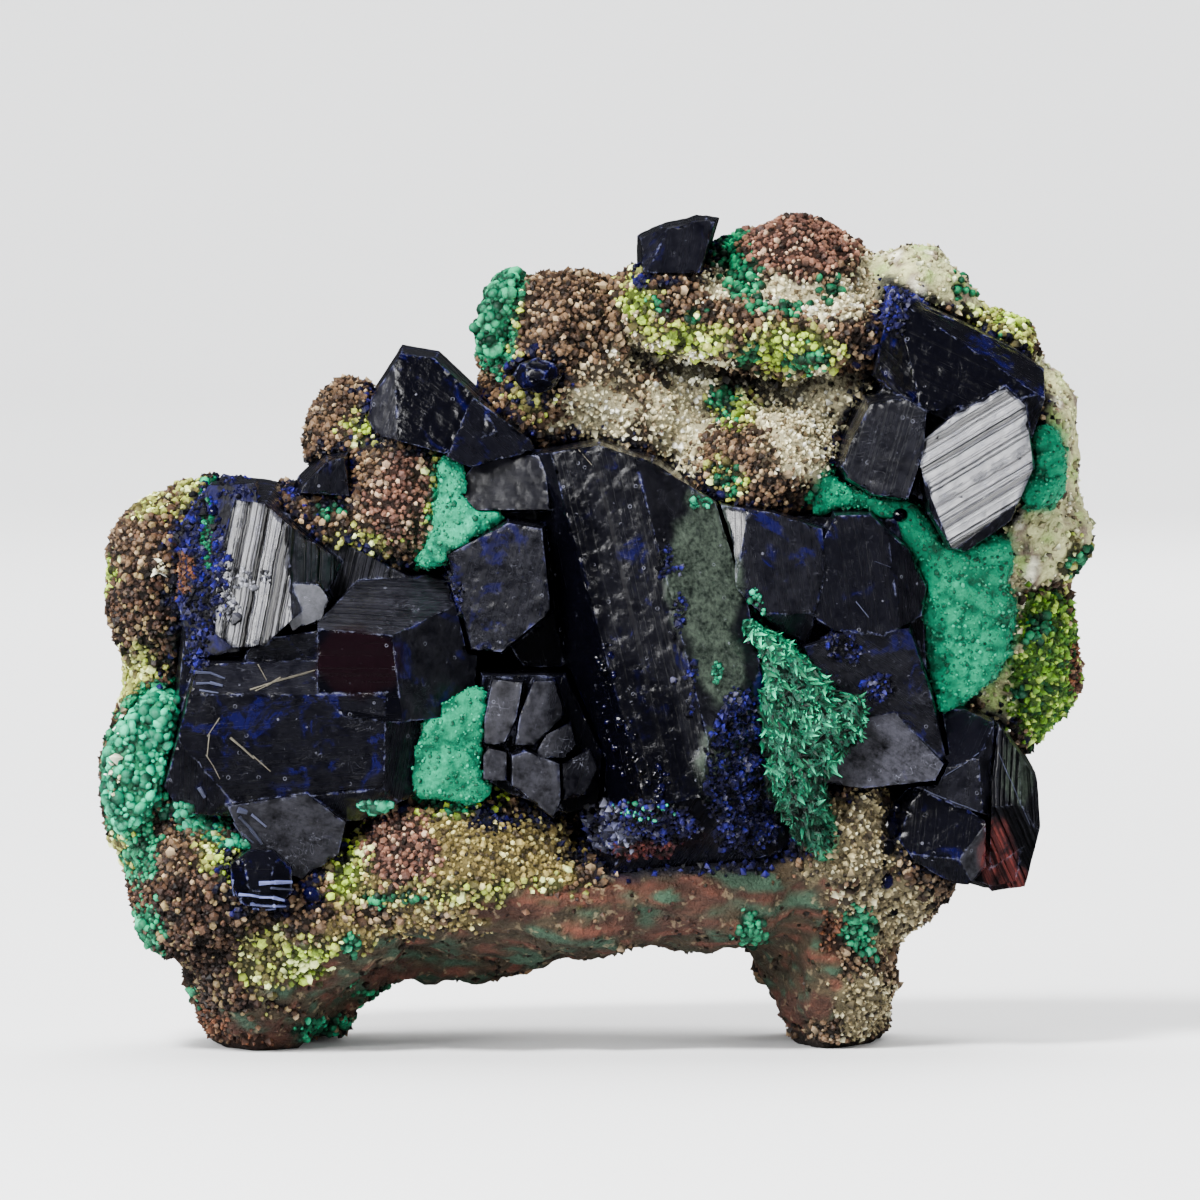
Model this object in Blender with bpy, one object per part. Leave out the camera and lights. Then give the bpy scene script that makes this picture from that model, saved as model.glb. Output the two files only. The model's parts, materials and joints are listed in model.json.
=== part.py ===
"""Azurite crystals and malachite crusts on a lumpy matrix rock that stands on two broken feet.

Everything below is in millimetres with the origin under the middle of the rock, x to the right,
y to the back and z up. The finished meshes are turned into metres at the very end.
"""

import bmesh
import bpy
from mathutils import Vector, noise

MM = 0.001
GAP = 0.3
BLOCK = 160.0
WELD = 0.0002

# The rock: one outline seen from the front, drawn three times, each time smaller and deeper.
ROCK_OUTLINE = [
    (-24.3, -0.9), (-28.1, -0.9), (-29.5, 2.3), (-32.0, 4.1), (-33.4, 6.6), (-35.0, 10.7),
    (-37.6, 14.4), (-37.0, 18.2), (-37.4, 21.2), (-36.1, 26.1), (-37.6, 29.1), (-37.6, 36.1),
    (-36.1, 38.9), (-34.0, 40.2), (-32.7, 41.5), (-30.0, 43.0), (-27.1, 42.6), (-22.5, 42.0),
    (-19.5, 42.4), (-21.0, 44.5), (-21.6, 47.5), (-20.8, 50.0), (-18.8, 50.6), (-16.8, 47.4),
    (-12.0, 44.8), (-7.4, 45.6), (-8.2, 48.8), (-9.2, 52.4), (-9.0, 55.4), (-7.9, 57.2),
    (-6.0, 57.9), (-3.0, 57.2), (-0.6, 58.3), (3.4, 59.0), (8.7, 60.6), (10.3, 62.3),
    (14.2, 62.8), (18.1, 61.3), (19.6, 59.3), (22.7, 60.2), (27.6, 59.3), (28.2, 56.2),
    (30.2, 55.0), (32.7, 54.0), (33.2, 52.0), (36.0, 47.5), (37.2, 43.4), (37.0, 40.7),
    (37.8, 36.1), (35.6, 33.1), (36.3, 29.8), (35.6, 27.2), (34.7, 23.5), (32.2, 22.1),
    (28.9, 18.2), (27.4, 14.5), (25.3, 12.2), (24.9, 10.4), (22.7, 7.7), (22.3, 1.8),
    (21.8, -0.9), (16.6, -0.9), (14.8, 1.9), (12.2, 2.9), (11.2, 5.9), (9.4, 6.9),
    (3.0, 6.6), (-2.6, 5.6), (-5.7, 4.5), (-9.1, 3.6), (-14.9, 4.1), (-18.5, 2.5),
    (-20.2, -0.9),
]
# Share of the outline's size, then the y of its front and of its back.
ROCK_LAYERS = [(0.97, -1.5, 9.0), (0.925, -3.0, 13.0), (0.82, -4.0, 17.5)]
ROCK_CENTRE = (0.0, 30.0)

# Lumps of the rock: centre x, y, z, then the half sizes along x, y and z.
ROCK_LUMPS = [
    (-33.0, -1.5, 34.5, 4.4, 7.0, 7.2),
    (-29.6, -1.0, 38.3, 5.2, 7.2, 4.6),
    (-33.0, -3.0, 19.5, 4.4, 7.6, 8.4),
    (-29.2, -7.0, 11.8, 6.1, 8.6, 6.0),
    (-25.2, -3.2, 6.4, 6.2, 9.8, 7.8),
    (-20.5, -6.0, 9.8, 6.5, 8.4, 6.0),
    (-10.6, -6.6, 13.4, 9.4, 9.6, 5.9),
    (-2.0, -6.0, 10.8, 9.5, 8.4, 4.6),
    (7.5, -6.0, 11.6, 9.0, 8.0, 4.8),
    (17.6, -5.6, 14.8, 5.2, 7.4, 6.4),
    (17.2, -1.0, 6.0, 5.1, 9.0, 7.8),
    (22.8, -2.0, 13.4, 4.0, 7.0, 5.3),
    (-18.6, -2.0, 46.2, 3.2, 5.6, 4.4),
    (-14.6, -5.2, 40.6, 5.2, 6.8, 5.2),
    (-20.4, -4.6, 38.6, 4.0, 6.0, 4.0),
    (-2.8, -3.2, 51.8, 6.2, 7.4, 6.2),
    (-5.4, -4.4, 47.0, 3.0, 5.6, 3.4),
    (4.8, -3.4, 54.8, 4.4, 6.6, 4.4),
    (10.6, -4.0, 53.6, 5.4, 6.4, 3.4),
    (2.0, -2.2, 47.0, 5.4, 6.2, 4.2),
    (14.4, -0.5, 57.0, 5.8, 6.6, 5.6),
    (17.2, -4.6, 52.8, 4.4, 5.6, 3.2),
    (12.2, -4.6, 43.6, 5.8, 7.2, 4.8),
    (23.8, 0.5, 56.2, 4.4, 6.0, 3.6),
    (30.2, 1.0, 51.6, 3.6, 6.4, 4.2),
    (33.2, 1.5, 45.0, 3.7, 7.0, 6.4),
    (33.0, 0.5, 38.2, 4.7, 6.6, 4.4),
    (32.0, 1.0, 29.4, 4.4, 7.0, 7.2),
    (-25.2, 6.0, 5.8, 5.2, 11.0, 6.6),
    (17.2, 7.0, 5.8, 4.9, 9.5, 7.4),
]
# Planes that the back of the rock broke along: a point on each, then the way that it faces.
ROCK_BREAKS = [
    ((0.0, 16.8, 27.0), (0.08, 1.0, 0.06)),
    ((-18.0, 14.2, 20.0), (-0.50, 0.85, 0.02)),
    ((-30.0, 9.0, 15.0), (-0.85, 0.62, -0.12)),
    ((20.0, 13.6, 24.0), (0.48, 0.86, -0.10)),
    ((30.5, 8.5, 33.0), (0.82, 0.60, 0.10)),
    ((-4.0, 12.4, 42.0), (-0.12, 0.80, 0.58)),
    ((14.0, 10.0, 50.0), (0.18, 0.86, 0.46)),
    ((-20.0, 10.0, 35.0), (-0.26, 0.80, 0.52)),
    ((6.0, 14.0, 10.0), (0.10, 0.88, -0.42)),
    ((-14.0, 13.4, 9.0), (-0.30, 0.90, -0.30)),
]
ROCK_VOXEL = 0.9
ROCK_TRIANGLES = 3850
ROCK_BUMP_SIZE = 3.4
ROCK_BUMP_HEIGHT = 0.75
ROCK_WAVE_SIZE = 9.0
ROCK_WAVE_HEIGHT = 0.9

# Malachite crusts are drawn with finer voxels and then thinned out.
CRUST_VOXEL = 0.45
CRUST_BUMP_SIZE = 1.6
CRUST_BUMP_HEIGHT = 0.35


def clear_scene():
    for item in list(bpy.data.objects):
        bpy.data.objects.remove(item)


def stone(name, colour, roughness):
    """A plain material of its own for one node."""
    material = bpy.data.materials.new(name)
    material.use_nodes = True
    shader = material.node_tree.nodes["Principled BSDF"]
    shader.inputs["Base Color"].default_value = (*colour, 1.0)
    shader.inputs["Roughness"].default_value = roughness
    return material


def object_from(name, bm):
    """Close the bmesh into a mesh object with its faces outwards."""
    bmesh.ops.remove_doubles(bm, verts=bm.verts, dist=WELD)
    bmesh.ops.recalc_face_normals(bm, faces=bm.faces)
    mesh = bpy.data.meshes.new(name)
    bm.to_mesh(mesh)
    bm.free()
    made = bpy.data.objects.new(name, mesh)
    bpy.context.scene.collection.objects.link(made)
    return made


def bake(item):
    """Replace the mesh by what its modifiers make of it."""
    graph = bpy.context.evaluated_depsgraph_get()
    mesh = bpy.data.meshes.new_from_object(item.evaluated_get(graph))
    item.modifiers.clear()
    item.data = mesh


def combine(item, others, operation):
    """Join or cut with each of the others by an exact Boolean."""
    for other in others:
        step = item.modifiers.new("step", "BOOLEAN")
        step.operation = operation
        step.solver = "EXACT"
        step.object = other
        bake(item)
    tidy(item)


def tidy(item):
    """Weld what a Boolean left closer than a hair and keep only the largest closed shell."""
    bm = bmesh.new()
    bm.from_mesh(item.data)
    bmesh.ops.remove_doubles(bm, verts=bm.verts, dist=WELD)
    shells = shells_of(bm)
    keep = max(shells, key=len)
    spare = [vert for shell in shells if shell is not keep for vert in shell]
    bmesh.ops.delete(bm, geom=spare, context="VERTS")
    bmesh.ops.triangulate(bm, faces=[face for face in bm.faces if len(face.verts) > 4])
    bm.to_mesh(item.data)
    bm.free()


def shells_of(bm):
    """The vertices of each connected shell."""
    bm.verts.ensure_lookup_table()
    left = set(bm.verts)
    shells = []
    while left:
        first = next(vert for vert in bm.verts if vert in left)
        shell = {first}
        edge = [first]
        while edge:
            vert = edge.pop()
            for link in vert.link_edges:
                other = link.other_vert(vert)
                if other not in shell:
                    shell.add(other)
                    edge.append(other)
        left -= shell
        shells.append(sorted(shell, key=lambda vert: vert.index))
    return shells


def remove(items):
    for item in items:
        bpy.data.objects.remove(item)


def slices(outline, front, lean, back, flare):
    """Planes of a crystal: the leaning front face, the back and one side for each outline edge."""
    middle_x = sum(x for x, _ in outline) / len(outline)
    middle_z = sum(z for _, z in outline) / len(outline)
    planes = [((middle_x, front, middle_z), (lean[0], -1.0, lean[1]))]
    planes.append(((middle_x, back, middle_z), (0.0, 1.0, 0.0)))
    for index, (x, z) in enumerate(outline):
        next_x, next_z = outline[(index + 1) % len(outline)]
        out = Vector((z - next_z, 0.0, next_x - x)).normalized()
        planes.append(((x, front, z), (out.x, -flare, out.z)))
    return planes


def cut_block(name, planes, grow):
    """Cut a large block by every plane, each moved outwards by grow, and close each cut."""
    bm = bmesh.new()
    bmesh.ops.create_cube(bm, size=BLOCK)
    for point, facing in planes:
        normal = Vector(facing).normalized()
        bmesh.ops.bisect_plane(
            bm,
            geom=bm.verts[:] + bm.edges[:] + bm.faces[:],
            dist=0.0005,
            plane_co=Vector(point) + normal * grow,
            plane_no=normal,
            clear_outer=True,
        )
        rim = [edge for edge in bm.edges if edge.is_boundary]
        bmesh.ops.holes_fill(bm, edges=rim, sides=0)
    return object_from(name, bm)


def crystal(outline, front, lean=(0.0, 0.0), back=3.0, flare=0.08, chops=()):
    """The planes of one crystal. Each chop is one more face: a point on it and its direction."""
    return slices(outline, front, lean, back, flare) + list(chops)


def cluster(name, crystals):
    """Crystals grown together as one solid, and the same a little larger to cut neighbours with."""
    made = []
    for grow in (0.0, GAP):
        parts = [cut_block(name, planes, grow) for planes in crystals]
        combine(parts[0], parts[1:], "UNION")
        remove(parts[1:])
        made.append(parts[0])
    made[0].name = name
    made[1].name = name + "_socket"
    return made


def slab(bm, outline, front, back):
    """A slab of the outline, closed at both ends."""
    rim = [bm.verts.new((x, front, z)) for x, z in outline]
    face = bm.faces.new(rim)
    raised = bmesh.ops.extrude_face_region(bm, geom=[face])
    moved = [item for item in raised["geom"] if isinstance(item, bmesh.types.BMVert)]
    bmesh.ops.translate(bm, verts=moved, vec=(0.0, back - front, 0.0))


def ball(bm, lump):
    """An ellipsoid: its centre and then its three half sizes."""
    made = bmesh.ops.create_icosphere(bm, subdivisions=3, radius=1.0)["verts"]
    bmesh.ops.scale(bm, verts=made, vec=lump[3:])
    bmesh.ops.translate(bm, verts=made, vec=lump[:3])


def remesh(item, voxel, smooth_steps):
    """Melt overlapping shells into one skin of even voxels."""
    melt = item.modifiers.new("melt", "REMESH")
    melt.mode = "VOXEL"
    melt.voxel_size = voxel
    soft = item.modifiers.new("soft", "SMOOTH")
    soft.factor = 0.5
    soft.iterations = smooth_steps
    bake(item)


def roughen(item, bump_size, bump_height, wave_size, wave_height):
    """Raise rounded bumps and broad waves along the surface's own direction."""
    bm = bmesh.new()
    bm.from_mesh(item.data)
    bm.normal_update()
    for vert in bm.verts:
        near = noise.voronoi(vert.co / bump_size)[0][0]
        wave = noise.fractal(vert.co / wave_size, 0.9, 2.1, 4)
        vert.co += vert.normal * (bump_height * (0.45 - near) + wave_height * wave)
    bm.to_mesh(item.data)
    bm.free()


def break_flat(item, planes):
    """Push every point that lies beyond a plane back onto it, as a broken face."""
    bm = bmesh.new()
    bm.from_mesh(item.data)
    for point, facing in planes:
        normal = Vector(facing).normalized()
        for vert in bm.verts:
            beyond = (vert.co - Vector(point)).dot(normal)
            ripple = 0.5 * noise.noise(vert.co / 5.0) + 0.3 * noise.noise(vert.co / 2.2)
            if beyond > ripple:
                vert.co -= normal * (beyond - ripple)
    bm.to_mesh(item.data)
    bm.free()


def thin_out(item, triangles):
    """Collapse flat areas until about this many triangles are left."""
    item.data.calc_loop_triangles()
    fewer = item.modifiers.new("fewer", "DECIMATE")
    fewer.ratio = min(1.0, triangles / len(item.data.loop_triangles))
    bake(item)


def rock():
    """The matrix rock before its sockets are cut."""
    bm = bmesh.new()
    middle = Vector(ROCK_CENTRE)
    for share, front, back in ROCK_LAYERS:
        slab(bm, [middle + (Vector(point) - middle) * share for point in ROCK_OUTLINE], front, back)
    for lump in ROCK_LUMPS:
        ball(bm, lump)
    made = object_from("matrix_rock", bm)
    remesh(made, ROCK_VOXEL, 3)
    roughen(made, ROCK_BUMP_SIZE, ROCK_BUMP_HEIGHT, ROCK_WAVE_SIZE, ROCK_WAVE_HEIGHT)
    break_flat(made, ROCK_BREAKS)
    thin_out(made, ROCK_TRIANGLES)
    return made


def crust(name, outline, front, back, triangles):
    """A lumpy crust that fills the outline, and the same a little larger to cut the rock with."""
    bm = bmesh.new()
    slab(bm, outline, front, back)
    made = object_from(name, bm)
    remesh(made, CRUST_VOXEL, 4)
    roughen(made, CRUST_BUMP_SIZE, CRUST_BUMP_HEIGHT, 4.0, 0.5)
    thin_out(made, triangles)
    return made, swell(made, GAP)


def swell(item, amount):
    """A copy of the item with its skin moved outwards."""
    bm = bmesh.new()
    bm.from_mesh(item.data)
    bm.normal_update()
    moves = [vert.normal * amount * min(vert.calc_shell_factor(), 1.5) for vert in bm.verts]
    for vert, move in zip(bm.verts, moves):
        vert.co += move
    return object_from(item.name + "_socket", bm)


def azurite_mosaic():
    """Small blocky faces beside the central slab, on one common block."""
    return cluster("azurite_mosaic", [
        crystal([(-8.7, 28.2), (-2.6, 28.2), (0.2, 22.4), (-0.2, 18.8), (-3.5, 17.6),
                 (-6.7, 19.5), (-8.7, 20.2)], -13.2, back=-3.0),
        crystal([(-8.5, 23.2), (-8.5, 25.1), (-7.9, 28.0), (-5.7, 27.8), (-6.1, 25.3),
                 (-7.1, 23.2)], -14.9, (-0.22, 0.02), -6.0),
        crystal([(-6.8, 23.2), (-5.9, 25.4), (-5.5, 27.9), (-3.4, 27.9), (-2.6, 25.4),
                 (-4.9, 23.2)], -15.2, (0.10, -0.06), -6.0),
        crystal([(-4.6, 22.2), (-4.6, 22.8), (-4.0, 23.9), (-2.2, 24.8), (-1.8, 23.2),
                 (-2.6, 22.2)], -15.0, (0.04, 0.10), -6.0),
        crystal([(-8.6, 20.6), (-8.6, 22.4), (-8.2, 22.9), (-6.9, 22.6), (-6.9, 20.5)],
                -14.6, (-0.08, -0.02), -6.0),
        crystal([(-6.5, 20.2), (-6.5, 22.4), (-5.6, 22.8), (-3.0, 21.8), (-2.9, 19.1),
                 (-3.5, 17.9)], -15.4, (0.03, -0.10), -6.0),
        crystal([(-2.7, 19.1), (-2.8, 21.8), (-0.8, 22.8), (-0.2, 21.5), (-1.1, 19.5)],
                -14.8, (0.12, 0.02), -6.0),
    ])


def azurite_centre():
    """The tall central slab with its two broad faces, and the crystals at its upper left."""
    tall = crystal(
        [(-4.8, 44.4), (-0.1, 45.2), (3.8, 44.0), (8.4, 40.8), (10.8, 33.4), (12.6, 25.0),
         (14.6, 15.6), (7.5, 13.6), (0.4, 13.8), (-2.2, 21.0), (-4.2, 33.0)],
        -16.6, (-0.16, 0.10), 4.0, 0.04,
        [((3.6, -15.3, 41.0), (0.50, -0.85, 0.25)),
         ((11.8, -13.4, 20.0), (0.72, -0.66, -0.06)),
         ((0.5, -16.4, 43.8), (-0.05, -0.60, 0.80)),
         ((-2.5, -14.4, 40.2), (-0.82, -0.50, -0.152)),
         ((6.0, -15.6, 17.2), (0.05, -0.62, -0.72))],
    )
    top = crystal([(-10.6, 42.0), (-8.6, 44.6), (-4.2, 44.4), (-3.6, 40.4), (-9.2, 40.4)],
                  -12.6, (-0.12, 0.30), 2.0, 0.1)
    side = crystal([(-11.2, 37.1), (-6.8, 39.6), (-4.2, 39.2), (-3.6, 33.0), (-7.3, 30.0),
                    (-9.4, 30.2)], -13.8, (-0.20, -0.10), 2.0, 0.1)
    recess = crystal([(-8.6, 41.0), (-2.0, 43.0), (1.0, 30.0), (1.0, 18.0), (-4.0, 26.0),
                      (-8.6, 29.5)], -10.6, (0.05, 0.0), 2.0, 0.02)
    return cluster("azurite_centre", [tall, top, side, recess])


def azurite_left():
    """The large left group: a bright striated face, a six-sided face, two blocks and a foot."""
    core = crystal([(-30.4, 38.6), (-28.0, 41.4), (-23.0, 40.0), (-12.4, 34.4), (-9.4, 30.0),
                    (-12.6, 19.8), (-22.0, 17.6), (-30.8, 19.0), (-31.6, 22.0)], -9.6, back=3.5)
    rough = crystal([(-31.0, 39.0), (-29.0, 42.2), (-25.6, 42.4), (-24.8, 38.0), (-26.6, 30.0),
                     (-30.2, 29.4), (-31.2, 33.2)], -11.4, (-0.45, 0.16), -1.0, 0.0)
    bright = crystal(
        [(-28.4, 31.3), (-28.3, 36.0), (-26.9, 41.0), (-24.8, 40.8), (-19.4, 36.4),
         (-20.2, 34.6), (-24.8, 30.4), (-27.1, 30.3)], -13.6, (-0.26, 0.20), 3.0, 0.08,
        [((-21.9, -12.9, 36.6), (0.66, -0.72, 0.18))],
    )
    sixfold = crystal([(-23.8, 34.0), (-22.7, 35.0), (-20.8, 35.1), (-20.0, 33.8),
                       (-20.6, 32.4), (-22.7, 31.6)], -13.9, (0.06, -0.06), -4.0, 0.05)
    under = crystal([(-26.4, 29.0), (-26.2, 30.0), (-24.8, 31.0), (-20.6, 31.6), (-20.6, 28.8)],
                    -13.4, (0.04, -0.30), -2.0)
    block = crystal(
        [(-20.8, 27.0), (-20.8, 32.2), (-17.9, 35.0), (-13.0, 35.3), (-10.8, 34.8),
         (-9.0, 33.2), (-9.4, 26.0), (-11.0, 25.2), (-15.2, 24.9), (-18.8, 25.3)],
        -16.2, (-0.04, -0.06), 3.0, 0.02,
        [((-18.0, -16.3, 31.5), (0.06, -0.52, 0.85)),
         ((-15.1, -16.2, 28.6), (0.63, -0.77, 0.03))],
    )
    low = crystal(
        [(-32.4, 20.4), (-30.4, 26.6), (-29.8, 29.0), (-20.2, 29.4), (-12.2, 26.0),
         (-11.9, 24.2), (-13.9, 19.4), (-17.6, 17.6), (-23.2, 17.4), (-30.9, 18.2)],
        -15.2, (-0.05, -0.14), 3.0, 0.06,
        [((-28.6, -15.0, 21.6), (-0.30, -0.82, -0.34)),
         ((-15.2, -15.0, 23.0), (0.62, -0.76, -0.12)),
         ((-22.0, -14.4, 19.0), (0.02, -0.70, -0.70)),
         ((-24.0, -15.2, 27.6), (-0.04, -0.80, 0.58))],
    )
    foot = crystal([(-27.6, 18.8), (-21.6, 19.6), (-18.8, 17.4), (-19.4, 15.0), (-22.0, 13.2),
                    (-25.4, 14.0)], -14.6, (0.18, -0.34), 0.0, 0.05)
    return cluster("azurite_left", [core, rough, bright, sixfold, under, block, low, foot])


def azurite_right():
    """Dark crystals right of the centre: the streaked one, two below it and a low wedge."""
    core = crystal([(9.6, 40.0), (22.0, 39.6), (24.0, 33.0), (24.6, 22.0), (17.0, 20.0),
                    (13.0, 24.0), (11.0, 33.0)], -8.4, back=3.5)
    streak = crystal(
        [(8.4, 36.0), (8.4, 40.8), (12.8, 40.2), (16.4, 39.0), (16.7, 36.2), (15.4, 30.6),
         (12.6, 31.8), (10.6, 34.0)], -13.2, (0.12, 0.14), 3.0, 0.04,
        [((11.2, -13.4, 38.6), (-0.46, -0.86, 0.22)),
         ((14.6, -13.2, 32.5), (0.10, -0.80, -0.60))],
    )
    broad = crystal(
        [(15.2, 32.8), (15.8, 36.6), (17.4, 40.0), (20.0, 40.0), (22.8, 37.4), (24.1, 34.6),
         (23.8, 32.6), (21.0, 31.1), (17.4, 31.5)], -12.6, (0.06, 0.12), 3.0, 0.05,
        [((22.0, -12.2, 35.5), (0.62, -0.76, 0.16))],
    )
    wedge = crystal([(15.0, 30.4), (18.8, 31.5), (22.9, 31.7), (24.4, 27.0), (25.6, 21.6),
                     (22.4, 22.2), (18.6, 25.2), (15.8, 28.2)], -12.2, (0.16, -0.14), 3.0)
    low = crystal([(16.2, 20.2), (17.6, 22.6), (19.6, 25.8), (21.6, 25.6), (25.4, 21.6),
                   (24.8, 20.4), (19.6, 19.8)], -12.4, (0.10, 0.18), 2.0)
    return cluster("azurite_right", [core, streak, broad, wedge, low])


def azurite_upper_right():
    """The upper right group: a long ridged crystal, a dark one and a bright striated one."""
    core = crystal([(18.6, 43.8), (20.6, 48.4), (22.4, 55.6), (30.6, 51.4), (32.4, 48.6),
                    (31.6, 43.0), (27.2, 38.4), (24.6, 40.4)], -7.4, back=4.0)
    ridge = crystal(
        [(20.4, 50.3), (21.2, 54.2), (22.0, 57.2), (23.6, 57.1), (30.8, 52.0), (32.8, 51.0),
         (32.9, 48.6), (32.0, 45.8), (26.2, 46.8), (22.5, 48.4)], -11.6, (-0.06, 0.22), 4.0,
        0.04,
        [((26.6, -9.6, 53.6), (0.48, -0.34, 0.81)), ((22.6, -11.0, 50.0), (-0.70, -0.70, 0.0)),
         ((27.0, -12.2, 48.0), (0.06, -0.80, -0.58)), ((31.6, -3.0, 50.0), (0.70, 0.66, 0.26))],
    )
    dark = crystal([(18.0, 43.6), (18.6, 45.4), (20.0, 48.2), (22.5, 48.8), (24.8, 47.4),
                    (23.9, 44.6), (23.6, 41.6), (22.6, 41.2), (20.2, 41.6), (18.4, 42.8)], -12.4,
                   (-0.26, 0.02), 3.0)
    bright = crystal(
        [(23.4, 45.1), (26.2, 47.4), (30.0, 49.5), (31.4, 48.2), (32.0, 43.6), (30.3, 39.7),
         (27.0, 37.4), (25.9, 37.7), (24.5, 40.2)], -14.2, (-0.26, 0.20), 3.0, 0.05,
        [((31.9, -15.1, 44.0), (0.78, -0.60, 0.06)), ((24.0, -13.4, 43.0), (-0.74, -0.64, -0.1)),
         ((29.4, -15.2, 40.0), (0.40, -0.66, -0.62))],
    )
    return cluster("azurite_upper_right", [core, ridge, dark, bright])


def azurite_lower_right():
    """A stout group on the lower right edge: a wedge above, a block below and one at the right."""
    core = crystal([(22.4, 18.2), (23.2, 20.6), (24.8, 24.6), (27.1, 25.0), (29.4, 24.0),
                    (31.6, 20.0), (31.9, 16.7), (30.8, 12.6), (29.2, 12.3), (26.2, 13.2),
                    (23.4, 14.8), (22.3, 16.4)], -8.6, back=5.0)
    wedge = crystal(
        [(22.6, 19.4), (22.9, 20.6), (24.6, 25.3), (27.1, 25.4), (29.2, 24.5), (28.9, 17.2),
         (26.4, 18.4)], -11.8, (-0.10, -0.12), 4.0, 0.02,
        [((26.3, -11.9, 21.4), (-0.30, -0.66, 0.60)), ((28.4, -11.6, 20.0), (0.80, -0.60, 0.0))],
    )
    lower = crystal(
        [(21.8, 17.0), (21.9, 18.6), (23.0, 19.8), (25.6, 19.2), (28.6, 17.4), (28.6, 13.8),
         (27.4, 12.5), (26.2, 12.6), (23.4, 14.2), (21.9, 16.2)], -11.0, (-0.18, 0.10), 4.0, 0.04,
        [((25.2, -11.2, 14.6), (-0.20, -0.74, -0.62)), ((27.4, -11.3, 15.0), (0.44, -0.80, -0.34)),
         ((23.2, -10.9, 17.6), (-0.66, -0.70, 0.24))],
    )
    right = crystal(
        [(29.0, 24.3), (29.6, 24.3), (31.0, 22.4), (32.5, 20.0), (32.7, 16.7), (31.6, 12.2),
         (29.2, 11.9), (28.4, 12.6), (28.6, 17.0), (29.0, 20.0)], -11.0, (0.34, 0.16), 4.0, 0.02,
        [((30.4, -10.4, 17.6), (0.30, -0.80, -0.46)), ((31.8, -9.6, 19.0), (0.84, -0.52, 0.10))],
    )
    return cluster("azurite_lower_right", [core, wedge, lower, right])


def azurite_top_left():
    """A dark wedge that leans out of the upper left, with one pale end."""
    return cluster("azurite_top_left", [
        crystal([(-17.2, 47.0), (-16.9, 48.6), (-14.7, 52.0), (-12.2, 51.6), (-9.0, 48.6),
                 (-7.6, 46.2), (-11.5, 44.6), (-16.6, 46.0)], -12.2, (-0.05, 0.30), 2.0, 0.02,
                [((-15.4, -11.6, 49.0), (-0.62, -0.76, 0.20))]),
        crystal([(-11.4, 44.4), (-9.4, 48.8), (-5.2, 45.6), (-4.8, 44.8), (-9.6, 43.6)],
                -13.0, (0.30, 0.24), 2.0, 0.02),
    ])


def azurite_small_left():
    return cluster("azurite_small_left", [crystal(
        [(-22.2, 41.6), (-22.0, 42.2), (-20.2, 44.0), (-19.0, 44.2), (-18.6, 41.4)],
        -10.6, (0.20, 0.04), -2.0)])


def azurite_top():
    """The small crystal on the ridge of the rock."""
    return cluster("azurite_top", [crystal(
        [(3.1, 57.8), (3.1, 60.8), (4.6, 61.1), (6.6, 62.1), (8.5, 61.6), (7.4, 57.8)],
        -7.4, (0.10, 0.45), 0.0, 0.05,
        [((4.6, -7.2, 60.6), (-0.45, -0.70, 0.56))])])


def azurite_bead():
    """The bead of azurite in the druse of the upper lobe."""
    return cluster("azurite_bead", [crystal(
        [(-6.5, 50.3), (-5.9, 51.2), (-4.6, 51.7), (-3.4, 51.2), (-2.8, 50.3), (-3.4, 49.4),
         (-4.6, 49.0), (-5.8, 49.4)], -12.3, (-0.15, 0.15), -7.0, 0.02,
        [((-4.6, -12.2, 50.8), (0.1, -0.64, 0.77)), ((-4.6, -12.2, 49.9), (0.1, -0.64, -0.77)),
         ((-5.4, -12.2, 50.3), (-0.7, -0.7, 0.1)), ((-3.8, -12.1, 50.3), (0.72, -0.7, 0.0))])])


def azurite_small_lower_left():
    """A small eight-sided crystal on the lower left mound."""
    return cluster("azurite_small_lower_left", [crystal(
        [(-27.2, 12.6), (-27.2, 14.4), (-25.9, 15.4), (-24.1, 15.4), (-22.8, 14.2),
         (-22.8, 12.3), (-24.0, 11.3), (-26.2, 11.4)], -16.9, (0.0, 0.12), -8.0, 0.05,
        [((-26.4, -16.6, 13.4), (-0.60, -0.80, 0.0)), ((-23.8, -16.6, 13.4), (0.60, -0.80, 0.0)),
         ((-25.0, -16.6, 14.7), (0.0, -0.76, 0.65)), ((-25.0, -16.6, 12.0), (0.0, -0.76, -0.65))],
    )])


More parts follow.
